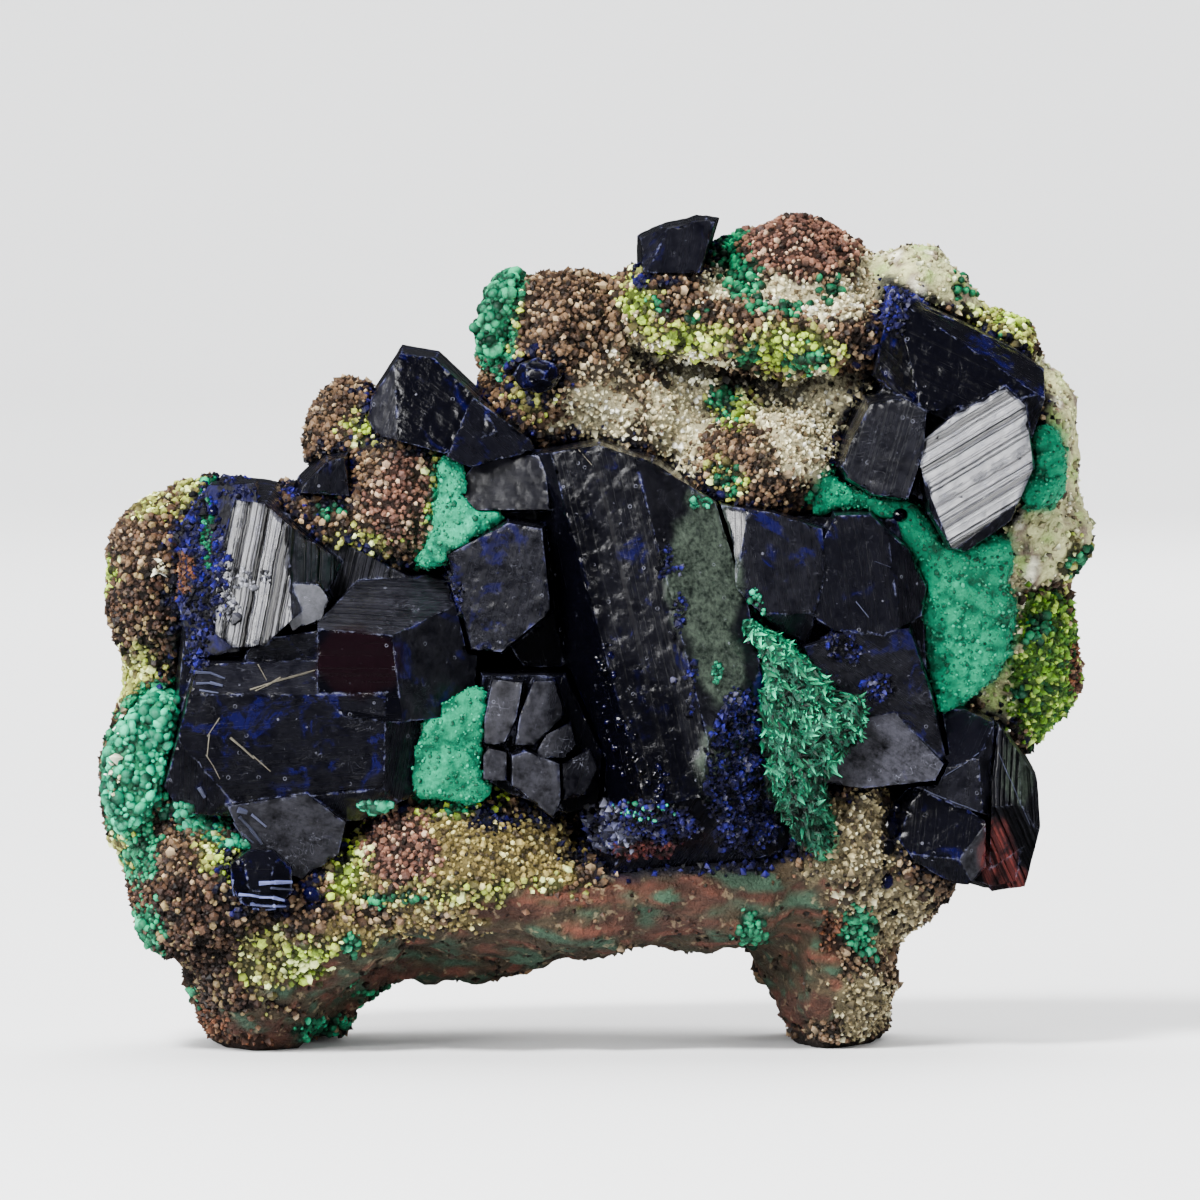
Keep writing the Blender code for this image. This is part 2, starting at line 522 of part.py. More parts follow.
def malachite_crusts():
    """Every malachite crust: outline, front, back and the triangles it may use."""
    return [
        crust("malachite_right",
              [(16.4, 43.0), (18.6, 41.8), (22.7, 41.3), (25.0, 38.0), (30.2, 38.0),
               (30.6, 36.2), (29.8, 34.4), (30.8, 32.9), (30.4, 29.8), (28.9, 27.6),
               (27.1, 26.7), (25.6, 25.0), (24.0, 25.0), (22.0, 31.0), (22.5, 36.6),
               (20.1, 39.4), (17.8, 39.8), (16.0, 40.0)], -8.4, 0.0, 320),
        crust("malachite_upper_right",
              [(31.2, 45.4), (33.4, 46.2), (34.4, 44.5), (34.2, 41.3), (32.2, 40.2),
               (30.8, 42.0)], -7.0, 0.0, 110),
        crust("malachite_centre",
              [(-14.4, 20.6), (-12.6, 25.6), (-8.4, 27.4), (-8.0, 22.0), (-8.2, 19.6),
               (-9.8, 19.0), (-13.6, 19.2)], -14.2, -6.0, 150),
        crust("malachite_upper_left",
              [(-11.7, 44.3), (-10.4, 44.1), (-10.2, 42.0), (-9.0, 41.7), (-7.2, 39.9),
               (-9.8, 37.4), (-13.2, 36.3), (-12.2, 38.1), (-11.9, 40.7)], -12.8, -4.0, 150),
        crust("malachite_fibrous",
              [(9.2, 33.4), (11.6, 32.0), (13.1, 30.8), (17.6, 27.0), (19.4, 26.7),
               (19.2, 24.6), (17.2, 22.1), (16.4, 19.7), (16.7, 15.4), (14.9, 16.6),
               (13.0, 20.0), (11.4, 24.2), (9.4, 27.2)], -14.4, -4.0, 320),
        crust("malachite_left_edge",
              [(-34.2, 26.2), (-31.5, 26.8), (-30.6, 24.6), (-32.2, 20.5), (-33.4, 17.8),
               (-35.8, 16.4), (-36.8, 19.5), (-36.4, 22.7)], -11.4, -2.0, 220),
        crust("malachite_knob",
              [(-9.0, 54.2), (-7.9, 57.3), (-5.7, 58.0), (-6.4, 55.6), (-6.4, 52.9),
               (-7.8, 50.8), (-9.0, 52.3)], -8.6, 0.0, 140),
    ]


def azurite_clusters():
    """Every azurite cluster with its socket. Where two meet, the later one gives way."""
    return [
        azurite_mosaic(),
        azurite_centre(),
        azurite_left(),
        azurite_right(),
        azurite_upper_right(),
        azurite_lower_right(),
        azurite_top_left(),
        azurite_small_left(),
        azurite_top(),
        azurite_bead(),
        azurite_small_lower_left(),
    ]


def meet(one, other):
    """Whether the boxes of two objects overlap."""
    low_one, high_one = box_of(one)
    low_other, high_other = box_of(other)
    return all(low_one[i] < high_other[i] and low_other[i] < high_one[i] for i in range(3))


def box_of(item):
    points = [vert.co for vert in item.data.vertices]
    low = [min(point[i] for point in points) for i in range(3)]
    high = [max(point[i] for point in points) for i in range(3)]
    return low, high


def give_way(solid, sockets):
    """Cut the solid clear of every socket that it meets."""
    combine(solid, [socket for socket in sockets if meet(solid, socket)], "DIFFERENCE")


def stand_flat(item):
    """Cut the feet off level at the floor."""
    floor = cut_block("floor", [((0.0, 0.0, 0.0), (0.0, 0.0, 1.0))], 0.0)
    combine(item, [floor], "DIFFERENCE")
    remove([floor])


def finish(item, colour, roughness):
    """Turn millimetres into metres and give the node its material."""
    for vert in item.data.vertices:
        vert.co *= MM
    item.data.materials.clear()
    item.data.materials.append(stone(item.name, colour, roughness))


def build():
    clear_scene()
    solids = []
    sockets = []
    for solid, socket in azurite_clusters():
        give_way(solid, sockets)
        solids.append((solid, (0.02, 0.03, 0.16), 0.2))
        sockets.append(socket)
    for solid, socket in malachite_crusts():
        give_way(solid, sockets)
        solids.append((solid, (0.02, 0.36, 0.22), 0.6))
        sockets.append(socket)
    matrix = rock()
    give_way(matrix, sockets)
    stand_flat(matrix)
    solids.append((matrix, (0.33, 0.24, 0.15), 0.9))
    remove(sockets)
    for solid, colour, roughness in solids:
        finish(solid, colour, roughness)


build()
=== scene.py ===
# %% [markdown]
# # Azurite on a druse-covered rock
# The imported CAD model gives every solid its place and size: eleven azurite clusters, seven
# malachite crusts and one matrix rock. This lesson dresses each of them. The crystals get worn
# edges, striae and growth marks, the crusts get their fine relief, and the rock gets a skin,
# tens of thousands of small druse grains and the colours of its mineral zones.

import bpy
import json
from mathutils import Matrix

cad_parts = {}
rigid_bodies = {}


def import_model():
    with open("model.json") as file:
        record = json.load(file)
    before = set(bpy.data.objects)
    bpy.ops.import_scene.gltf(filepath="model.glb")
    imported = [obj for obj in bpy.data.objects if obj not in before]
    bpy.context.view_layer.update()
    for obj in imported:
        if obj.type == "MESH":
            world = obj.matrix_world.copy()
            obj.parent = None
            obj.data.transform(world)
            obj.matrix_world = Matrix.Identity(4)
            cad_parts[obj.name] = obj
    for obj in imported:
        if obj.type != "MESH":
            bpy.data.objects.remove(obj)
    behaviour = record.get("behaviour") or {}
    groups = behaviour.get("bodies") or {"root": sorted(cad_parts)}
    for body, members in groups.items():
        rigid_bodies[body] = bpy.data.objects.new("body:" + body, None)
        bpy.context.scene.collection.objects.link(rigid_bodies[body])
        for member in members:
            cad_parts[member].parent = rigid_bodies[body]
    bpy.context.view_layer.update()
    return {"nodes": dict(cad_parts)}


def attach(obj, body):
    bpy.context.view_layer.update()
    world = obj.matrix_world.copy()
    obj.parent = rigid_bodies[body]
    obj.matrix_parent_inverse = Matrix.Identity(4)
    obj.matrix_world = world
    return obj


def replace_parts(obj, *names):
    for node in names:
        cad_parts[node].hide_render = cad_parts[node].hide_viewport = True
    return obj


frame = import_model()

# %% Tools and units
import json
import math

import bmesh
import bpy
import numpy as np
from mathutils import Vector, noise
from mathutils.bvhtree import BVHTree

MM = 0.001
chance = np.random.default_rng(12)


def tint(red, green, blue):
    """A screen colour, 0 to 255, as the linear numbers that shaders use."""
    return tuple((c / 255 / 12.92) if c < 10 else ((c / 255 + 0.055) / 1.055) ** 2.4
                 for c in (red, green, blue))


# %% [markdown]
# ## Camera, floor and light
# The photograph looks straight at the front from far away, so a long lens at 0.9 m fits. The
# large faces of the crystals are nearly black because the room in front of them is dark. Two
# faces are bright partly because a soft lamp stands just where they mirror it and partly from a
# painted silver sheen in their colour, so the first lamp below stands in that direction, and a
# second one lights the one curved edge at the middle right.

# %% Camera
CAMERA_AIM = Vector((0.0, 0.0, 33.2)) * MM
CAMERA_TILT = math.radians(2.6)
CAMERA_AWAY = 0.9

camera = bpy.data.objects.new("camera", bpy.data.cameras.new("camera"))
bpy.context.scene.collection.objects.link(camera)
camera.data.lens = 360
camera.data.sensor_width = 36
camera.location = CAMERA_AIM + CAMERA_AWAY * Vector((0, -math.cos(CAMERA_TILT), math.sin(CAMERA_TILT)))
camera.rotation_euler = (math.pi / 2 - CAMERA_TILT, 0, 0)
bpy.context.scene.camera = camera


# %% Lamps
def lamp(name, toward, away, size, power, mirrored=True, aim=CAMERA_AIM):
    """A square soft lamp in the given direction from its aim, turned to face it."""
    made = bpy.data.objects.new(name, bpy.data.lights.new(name, "AREA"))
    bpy.context.scene.collection.objects.link(made)
    direction = Vector(toward).normalized()
    made.location = aim + direction * away
    made.rotation_euler = direction.to_track_quat("Z", "Y").to_euler()
    made.data.shape = "RECTANGLE"
    made.data.size, made.data.size_y = size
    made.data.energy = power
    made.visible_glossy = mirrored
    return made


lamp("mirror_lamp", (-0.52, -0.76, 0.40), 0.62, (0.18, 0.18), 2.8)
lamp("edge_lamp", (-0.79, -0.48, 0.38), 0.60, (0.16, 0.20), 1.6)
lamp("sheen_lamp", (0.07, 0.42, 0.91), 0.70, (0.30, 0.30), 0.5)
lamp("rock_lamp", (-0.34, -0.52, 0.80), 0.75, (0.16, 0.16), 17.0, mirrored=False)
lamp("left_lamp", (-0.85, -0.50, 0.25), 0.80, (0.25, 0.25), 1.6, mirrored=False)
lamp("right_lamp", (0.85, -0.55, 0.25), 0.80, (0.30, 0.30), 1.6, mirrored=False)
lamp("back_lamp", (0.30, 0.85, 0.45), 0.90, (0.50, 0.50), 6.0, mirrored=False)

world = bpy.data.worlds.new("room")
bpy.context.scene.world = world
world.use_nodes = True
world.node_tree.nodes["Background"].inputs["Color"].default_value = (0.80, 0.82, 0.85, 1)
world.node_tree.nodes["Background"].inputs["Strength"].default_value = 0.05


# %% [markdown]
# The stage is one pale bowl, so that every view has the same plain ground: a flat floor that
# bends up into a wall all round. It is a profile spun once about the upright axis.

# %% Floor and backdrop
STAGE_PROFILE = [(0.0, 0.0), (1.7, 0.0), (1.85, 0.03), (1.98, 0.11), (2.08, 0.24), (2.13, 0.4), (2.15, 0.6), (2.15, 3.2)]


def plain_stage():
    bm = bmesh.new()
    line = [bm.verts.new((x, 0.0, z)) for x, z in STAGE_PROFILE]
    edges = [bm.edges.new(pair) for pair in zip(line, line[1:])]
    bmesh.ops.spin(bm, geom=line + edges, cent=(0, 0, 0), axis=(0, 0, 1), angle=2 * math.pi, steps=72,
                   use_merge=True, use_duplicate=False)
    bmesh.ops.remove_doubles(bm, verts=bm.verts, dist=0.001)
    bmesh.ops.recalc_face_normals(bm, faces=bm.faces)
    mesh = bpy.data.meshes.new("pale_bowl")
    bm.to_mesh(mesh)
    bm.free()
    mesh.shade_smooth()
    made = bpy.data.objects.new("pale_bowl", mesh)
    bpy.context.scene.collection.objects.link(made)
    paint = bpy.data.materials.new("pale_bowl")
    paint.use_nodes = True
    shader = paint.node_tree.nodes["Principled BSDF"]
    shader.inputs["Base Color"].default_value = (0.74, 0.745, 0.75, 1)
    shader.inputs["Roughness"].default_value = 0.9
    mesh.materials.append(paint)
    made.visible_glossy = False
    return made


pale_bowl = plain_stage()
lamp("floor_lamp", (0.0, 0.35, 1.0), 1.60, (1.6, 1.0), 45.0, mirrored=False)
lamp("wall_lamp", (0.0, -0.75, 1.0), 1.50, (1.4, 0.5), 45.0, mirrored=False, aim=Vector((0.0, 2.15, 0.3)))


# %% [markdown]
# ## Shader sums as plain Python
# A node tree is easiest to read as arithmetic. `Wire` wraps one output socket and lets Python
# add, subtract, multiply and divide it, also with the number on the left as in `1 - mask`.
# `Finish` owns one material, makes any node by its type, and ends by plugging in the results.

# %% Wire and Finish
class Wire:
    """One output socket that can be used in sums."""

    def __init__(self, finish, socket):
        self.finish, self.socket = finish, socket

    def sum_of(self, operation, one, other=None):
        values = {0: one} if other is None else {0: one, 1: other}
        return self.finish.node("Math", {"operation": operation}, values)

    def __add__(self, other): return self.sum_of("ADD", self, other)
    def __radd__(self, other): return self.sum_of("ADD", other, self)
    def __sub__(self, other): return self.sum_of("SUBTRACT", self, other)
    def __rsub__(self, other): return self.sum_of("SUBTRACT", other, self)
    def __mul__(self, other): return self.sum_of("MULTIPLY", self, other)
    def __rmul__(self, other): return self.sum_of("MULTIPLY", other, self)
    def __truediv__(self, other): return self.sum_of("DIVIDE", self, other)
    def __pow__(self, other): return self.sum_of("POWER", self, other)

    def step(self, low, high):
        """0 below low, 1 above high, and a smooth rise between."""
        return self.finish.node("MapRange", {"interpolation_type": "SMOOTHSTEP"},
                                {0: self, 1: low, 2: high, 3: 0.0, 4: 1.0})


class Finish:
    """One material of the specimen."""

    def __init__(self, name, **constants):
        self.material = bpy.data.materials.new(name)
        self.material.use_nodes = True
        self.tree = self.material.node_tree
        self.shader = self.tree.nodes["Principled BSDF"]
        for socket, value in constants.items():
            self.shader.inputs[socket.replace("_", " ")].default_value = value
        place = self.node("TexCoord", {}, {}, "Object")
        self.place = self.node("VectorMath", {"operation": "SCALE"}, {0: place, "Scale": 1 / MM})

    def node(self, kind, settings, values, output=0):
        """Any shader node: its settings first, then numbers, colours or wires into its sockets."""
        made = self.tree.nodes.new("ShaderNode" + kind)
        for key, value in settings.items():
            setattr(made, key, value)
        for key, value in values.items():
            self.plug(made.inputs[key], value)
        return Wire(self, made.outputs[output])

    def plug(self, socket, value):
        if isinstance(value, Wire):
            self.tree.links.new(value.socket, socket)
        elif isinstance(value, tuple) and len(value) == 3 and socket.type == "RGBA":
            socket.default_value = (*value, 1.0)
        else:
            socket.default_value = value

    def noise(self, size, detail=3.0, rough=0.55, bend=0.0, place=None):
        """Cloudy noise whose blobs are about this many millimetres across."""
        return self.node("TexNoise", {}, {"Vector": place or self.place, "Scale": 1 / size,
                                          "Detail": detail, "Roughness": rough, "Distortion": bend})

    def cells(self, size, feature="F1", place=None):
        """Distance to the nearest of many scattered points."""
        return self.node("TexVoronoi", {"feature": feature},
                         {"Vector": place or self.place, "Scale": 1 / size}, "Distance")

    def stretched(self, x, y, z):
        return self.node("VectorMath", {"operation": "MULTIPLY"}, {0: self.place, 1: (x, y, z)})

    def drawn(self, name):
        """A number stored on the mesh."""
        return self.node("Attribute", {"attribute_name": name}, {}, "Fac")

    def painted(self, name):
        """A colour stored on the mesh."""
        return self.node("Attribute", {"attribute_name": name}, {}, "Color")

    def mix(self, share, one, other, blend="MIX"):
        return self.node("Mix", {"data_type": "RGBA", "blend_type": blend},
                         {0: share, 6: one, 7: other}, 2)

    def dim(self, colour, amount):
        """A colour times a number."""
        return self.node("VectorMath", {"operation": "SCALE"}, {0: colour, "Scale": amount})

    def bump(self, height, depth, before=None):
        """A normal from heights in millimetres."""
        values = {"Height": height, "Distance": depth * MM, "Strength": 1.0}
        if before is not None:
            values["Normal"] = before
        return self.node("Bump", {}, values)

    def done(self, colour, rough, normal):
        self.plug(self.shader.inputs["Base Color"], colour)
        self.plug(self.shader.inputs["Roughness"], rough)
        self.plug(self.shader.inputs["Normal"], normal)
        print("finish:", self.material.name, len(self.tree.nodes), "nodes")
        return self.material


# %% [markdown]
# ## Working on a mesh
# The CAD model arrives as loose triangles, so each copy is welded first. The helpers below read
# and write whole meshes as arrays in millimetres, which keeps the long loops short and quick.

# %% Mesh helpers
def shown(name, bm):
    """Turn a bmesh into an object of the scene."""
    mesh = bpy.data.meshes.new(name)
    bm.to_mesh(mesh)
    bm.free()
    made = bpy.data.objects.new(name, mesh)
    bpy.context.scene.collection.objects.link(made)
    return made


def welded(node):
    """A bmesh of a CAD node with its triangles joined."""
    bm = bmesh.new()
    bm.from_mesh(frame["nodes"][node].data)
    bmesh.ops.remove_doubles(bm, verts=bm.verts, dist=0.004 * MM)
    return bm


def settle(piece):
    """Replace the mesh by what its modifiers make of it."""
    graph = bpy.context.evaluated_depsgraph_get()
    mesh = bpy.data.meshes.new_from_object(piece.evaluated_get(graph))
    piece.modifiers.clear()
    piece.data = mesh


def points_of(mesh):
    flat = np.empty(len(mesh.vertices) * 3, np.float32)
    mesh.vertices.foreach_get("co", flat)
    return flat.reshape(-1, 3).astype(float) / MM


def outward_of(mesh):
    flat = np.empty(len(mesh.vertices) * 3, np.float32)
    mesh.vertex_normals.foreach_get("vector", flat)
    return flat.reshape(-1, 3).astype(float)


def move_to(mesh, points):
    mesh.vertices.foreach_set("co", (points * MM).astype(np.float32).ravel())
    mesh.update()


def store(mesh, name, values, domain="POINT"):
    """Keep numbers or colours on the mesh under a name that a shader can read."""
    values = np.asarray(values, np.float32)
    kind, slot = ("FLOAT_COLOR", "color") if values.ndim == 2 else ("FLOAT", "value")
    if values.ndim == 2:
        values = np.column_stack([values, np.ones(len(values), np.float32)])
    mesh.attributes.new(name, kind, domain).data.foreach_set(slot, values.ravel())


def clouds(points, size, seed=0):
    """Soft noise from about -1 to 1 at each point, with blobs of that many millimetres."""
    shift = Vector((seed * 7.31, seed * 3.17, seed * 5.53))
    return np.array([noise.noise(Vector(point) / size + shift) for point in points])


def pebbles(points, size, seed=0):
    """1 on top of each rounded pebble and 0 in the joints between them."""
    shift = Vector((seed * 2.3, seed * 1.7, seed * 4.9))
    found = (noise.voronoi(Vector(point) / size + shift)[0] for point in points)
    return np.array([min(1.0, (near[1] - near[0]) * 1.6) for near in found])


def wear(piece, material, slot, *nodes, smooth=True):
    """Give a finished piece its material, its body and the nodes that it replaces. The slot is not used."""
    piece.data.materials.clear()
    piece.data.materials.append(material)
    piece.data.shade_smooth() if smooth else piece.data.shade_flat()
    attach(piece, "root")
    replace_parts(piece, *nodes) if nodes else None
    print(piece.name, len(piece.data.polygons), "faces")


# %% [markdown]
# ## The mineral zones of the rock
# The rock isn't one colour. Iron-brown druse covers its lumps, yellow-green druse sits in the
# hollows, cream crystals line the recess, and the broken base is bare. A painter would lay these
# zones over one another, and so does this cell: each zone is a few soft ovals seen from the
# front, in millimetres, with a ragged edge, and a palette for its grains. The last one wins.

# %% Ovals of the zones: middle x, middle z, half width, half height
MAROON = [(-14.5, 40.9, 2.5, 3.6), (15.0, 60.2, 4.4, 2.6), (-14.8, 15.4, 2.8, 2.8)]
UMBER = [(-33.8, 31.3, 3.0, 5.4), (-30.5, 39.5, 3.0, 2.6), (-35.0, 24.0, 2.0, 3.0), (-25.5, 5.6, 5.6, 3.4),
         (-30.5, 9.5, 3.4, 4.6), (-34.5, 14.5, 2.0, 3.4)]
PEPPER = [(2.6, 46.0, 4.6, 3.6), (0.6, 49.6, 2.8, 2.2), (15.6, 47.8, 4.6, 2.0), (13.6, 44.8, 2.2, 1.4)]
CREAM = [(5.6, 44.9, 1.6, 3.4), (7.0, 48.0, 2.2, 3.4), (15.4, 48.2, 4.9, 2.2),
         (16.1, 45.2, 2.6, 3.0), (17.2, 55.8, 3.0, 1.4), (23.6, 57.5, 4.5, 3.2), (31.3, 49.2, 2.4, 0.6),
         (35.7, 42.6, 2.0, 4.2), (32.6, 37.5, 3.8, 3.4), (29.9, 29.7, 1.6, 5.8), (5.4, 52.2, 3.6, 1.5),
         (15.0, 56.4, 5.0, 1.1), (8.4, 57.2, 1.4, 1.2), (0.0, 47.5, 3.0, 2.2),
         (3.4, 53.4, 1.0, 1.6), (5.4, 52.4, 1.6, 0.8),
         (7.6, 51.6, 1.4, 0.6), (4.6, 49.0, 0.8, 1.2), (5.8, 47.4, 0.9, 1.4), (7.0, 45.8, 0.8, 1.2)]
TAWNY = [(-9.0, 15.0, 7.6, 3.6), (-13.7, 12.1, 6.4, 1.6), (-17.4, 8.4, 5.0, 1.6), (-8.0, 9.8, 6.0, 1.2)]
OLIVE = [(-11.5, 40.9, 1.3, 4.0), (-30.2, 41.1, 1.3, 1.9), (-18.7, 14.3, 1.6, 2.8),
         (-13.7, 12.1, 5.4, 0.7), (-19.7, 5.8, 3.6, 3.0), (-24.8, 7.0, 1.8, 3.0),
         (-6.6, 53.5, 0.6, 3.8), (-5.2, 48.6, 1.1, 1.1), (2.8, 55.4, 1.3, 2.2), (6.6, 53.0, 3.2, 1.2),
         (13.9, 52.3, 3.8, 1.9), (9.8, 48.0, 1.9, 1.7), (9.6, 42.3, 1.5, 1.8), (29.9, 53.9, 3.3, 2.1),
         (35.4, 36.2, 2.1, 2.2), (-28.3, 15.0, 1.6, 1.3), 
         (-4.9, 12.0, 4.9, 1.0), (-34.0, 40.6, 1.4, 1.2), (-18.2, 37.4, 2.6, 1.6), (-17.6, 46.4, 1.6, 1.2),
         (-34.6, 27.6, 1.6, 2.2), (-35.8, 15.6, 1.2, 2.4)]
YELLOW = [(2.8, 55.2, 0.9, 1.7), (6.8, 52.9, 2.6, 0.8), (14.2, 52.2, 3.0, 1.4), (9.6, 47.9, 1.2, 1.5),
          (-27.9, 14.8, 1.0, 1.1), (-21.4, 5.8, 1.9, 2.4), (-18.9, 14.1, 0.9, 2.6), (-11.2, 41.1, 0.8, 3.4),
          (-17.7, 46.0, 0.7, 0.8), (-36.6, 35.0, 0.5, 1.2), (-9.6, 18.6, 3.0, 0.7), (31.4, 54.4, 1.6, 1.0)]
SANDY = [(19.5, 16.3, 3.0, 4.1), (21.2, 10.0, 3.6, 3.0), (19.6, 3.4, 2.4, 2.8), (16.6, 12.5, 1.6, 2.0)]
CHALK = [(24.0, 57.6, 4.5, 2.8), (35.3, 46.0, 2.2, 6.2), (32.6, 37.4, 2.8, 3.2), (29.6, 27.4, 1.4, 3.4),
         (30.8, 50.6, 2.4, 1.0), (36.2, 39.5, 1.3, 2.6), (28.2, 56.6, 2.2, 1.6), (34.0, 51.0, 1.6, 2.2)]
MOSS = [(33.4, 28.1, 2.8, 6.0)]
BARE = [(-4.5, 7.7, 4.5, 4.5), (8.2, 10.6, 9.0, 4.6), (-9.8, 6.2, 9.8, 3.2), (14.6, 5.8, 3.4, 4.9),
        (-25.5, 1.6, 6.8, 1.6), (-17.6, 4.0, 7.1, 1.9), (1.0, 6.2, 8.0, 2.0)]
RED = [(6.0, 12.0, 9.0, 1.0), (4.1, 9.8, 4.9, 1.3), (14.4, 3.0, 2.8, 1.3), (-25.1, 1.2, 2.6, 1.2),
       (-11.2, 3.8, 3.8, 0.6), (-6.4, 10.6, 3.4, 0.9), (-18.0, 5.2, 4.5, 0.8)]
ORANGE = [(-34.2, 11.2, 0.7, 0.9), (35.6, 28.2, 0.6, 2.1), (-30.0, 1.7, 2.2, 1.5), (-30.7, 35.9, 0.7, 1.5),
          (17.2, 8.8, 0.9, 1.4), (-26.0, 0.4, 1.6, 0.8)]
MINT = [(11.1, 9.3, 0.9, 1.2), (19.1, 9.0, 1.3, 1.7), (-18.5, 8.1, 0.6, 0.8), (-20.7, 1.3, 1.8, 0.5),
        (-31.1, 3.8, 1.1, 0.6), (-33.5, 8.7, 1.0, 2.8), (-34.2, 15.0, 1.2, 2.4), (-28.6, 17.0, 2.1, 0.7),
        (-18.0, 18.9, 1.1, 0.5), (-29.1, 39.0, 0.5, 2.8), (-20.0, 40.4, 1.0, 0.5)]
EMERALD = [(9.2, 48.2, 1.0, 1.2), (9.4, 60.0, 1.1, 2.0), (10.7, 57.4, 1.3, 2.0), (13.3, 55.3, 1.7, 0.5),
           (17.2, 56.9, 0.9, 0.7), (11.2, 51.5, 0.8, 0.9), (15.4, 51.4, 1.7, 0.8), (4.1, 55.7, 0.6, 0.6),
           (6.8, 54.6, 0.6, 0.6), (35.9, 35.8, 0.9, 0.9), (32.8, 31.5, 0.8, 0.8), (26.9, 56.5, 0.5, 0.6),
           (29.2, 52.9, 0.6, 0.5), (-15.0, 11.8, 2.2, 0.4), (-16.9, 3.8, 1.6, 0.4), (9.0, 42.2, 0.9, 0.9),
           (31.6, 26.4, 0.7, 0.7)]
VIOLET = [(-30.5, 34.0, 1.2, 4.6), (6.8, 15.0, 8.6, 1.5), (-21.6, 41.6, 2.4, 0.5), (0.6, 17.4, 2.6, 1.9),
          (15.0, 16.7, 2.2, 1.6), (-21.0, 11.5, 0.9, 0.7), (-29.4, 40.4, 0.8, 0.6), (-7.0, 17.6, 2.6, 0.7)]


# %% Zone palettes and the painter
class Zone:
    """Ovals, how ragged their edge is, and the grain colours, most common first."""

    def __init__(self, ovals, ragged, *palette):
        self.ovals, self.ragged = ovals, ragged
        self.palette = np.array([tint(*colour) for colour in palette])

    def depth(self, points, seed):
        """Above 0 inside the zone and below 0 outside."""
        best = np.full(len(points), -9.0)
        for x, z, half_x, half_z in self.ovals:
            away = np.hypot((points[:, 0] - x) / half_x, (points[:, 2] - z) / half_z)
            best = np.maximum(best, (1 - away) * min(half_x, half_z))
        return best + self.ragged * (clouds(points, 1.9, seed) + 0.6 * clouds(points, 0.8, seed + 9))


ground = Zone([], 0.0, (92, 70, 49), (55, 39, 28), (146, 124, 94), (26, 18, 13))
zones = {
    "umber": Zone(UMBER, 0.7, (70, 48, 33), (40, 25, 19), (116, 98, 64), (19, 12, 10)),
    "tawny": Zone(TAWNY, 0.8, (138, 122, 66), (100, 86, 47), (190, 180, 118), (54, 44, 27)),
    "maroon": Zone(MAROON, 0.7, (110, 74, 58), (74, 47, 38), (166, 138, 112), (34, 23, 17)),
    "pepper": Zone(PEPPER, 0.9, (176, 158, 122), (104, 82, 58), (228, 218, 184), (44, 32, 23)),
    "cream": Zone(CREAM, 0.9, (240, 232, 188), (190, 176, 132), (250, 248, 230), (104, 88, 62)),
    "olive": Zone(OLIVE, 0.8, (138, 142, 64), (80, 74, 37), (210, 220, 142), (158, 176, 58)),
    "yellow": Zone(YELLOW, 0.5, (166, 194, 52), (98, 120, 26), (220, 232, 150), (46, 50, 19)),
    "sandy": Zone(SANDY, 0.8, (166, 152, 110), (116, 102, 70), (216, 208, 168), (60, 50, 36)),
    "chalk": Zone(CHALK, 1.0, (188, 194, 136), (168, 160, 118), (216, 218, 176), (112, 102, 80)),
    "moss": Zone(MOSS, 0.6, (98, 148, 18), (50, 96, 14), (178, 214, 74), (10, 72, 30)),
    "bare": Zone(BARE, 0.7, (66, 50, 35), (48, 45, 30), (38, 28, 21), (96, 82, 58)),
    "red": Zone(RED, 0.5, (74, 44, 32), (52, 32, 24), (98, 68, 48), (36, 22, 17)),
    "mint": Zone(MINT, 0.4, (0, 124, 82), (0, 88, 58), (12, 158, 112), (0, 56, 36)),
    "emerald": Zone(EMERALD, 0.4, (0, 94, 58), (0, 62, 38), (4, 132, 84), (0, 36, 22)),
    "violet": Zone(VIOLET, 0.5, (10, 6, 72), (4, 3, 36), (28, 20, 116), (2, 2, 14)),
    "orange": Zone(ORANGE, 0.3, (112, 66, 40), (84, 50, 32), (146, 106, 74), (58, 36, 26)),
}


def paint_rock(points):
    """The index of each point's zone (0 is the ground) with its depth in that zone."""
    zone = np.zeros(len(points), int)
    depth = np.zeros(len(points))
    for index, found in enumerate(zones.values(), 1):
        inside = found.depth(points, index)
        over = inside > 0
        zone[over], depth[over] = index, inside[over]
    return zone, depth


palettes = [ground.palette] + [found.palette for found in zones.values()]
zone_names = ["ground", *zones]
print("zones:", len(zones), "ovals:", sum(len(found.ovals) for found in zones.values()))

# %% [markdown]
# ## The rock's skin
# A rock could be one smooth mesh with a bump map, but then its outline would stay smooth. The
# skin is a fine voxel remesh of the CAD rock, pushed in and out along its own direction by
# several sizes of noise. The front gets knobs under the druse, the back gets a broken surface.

# %% Make the skin
SKIN_VOXEL = 0.45

rock_skin = shown("rock_skin", welded("matrix_rock"))
grid = rock_skin.modifiers.new("grid", "REMESH")
grid.mode, grid.voxel_size = "VOXEL", SKIN_VOXEL * MM
soft = rock_skin.modifiers.new("soft", "SMOOTH")
soft.factor, soft.iterations = 0.5, 2
settle(rock_skin)
skin_points, skin_outward = points_of(rock_skin.data), outward_of(rock_skin.data)


def ease(values, low, high):
    """0 below low, 1 above high, and a smooth rise between."""
    share = np.clip((values - low) / (high - low), 0, 1)
    return share * share * (3 - 2 * share)


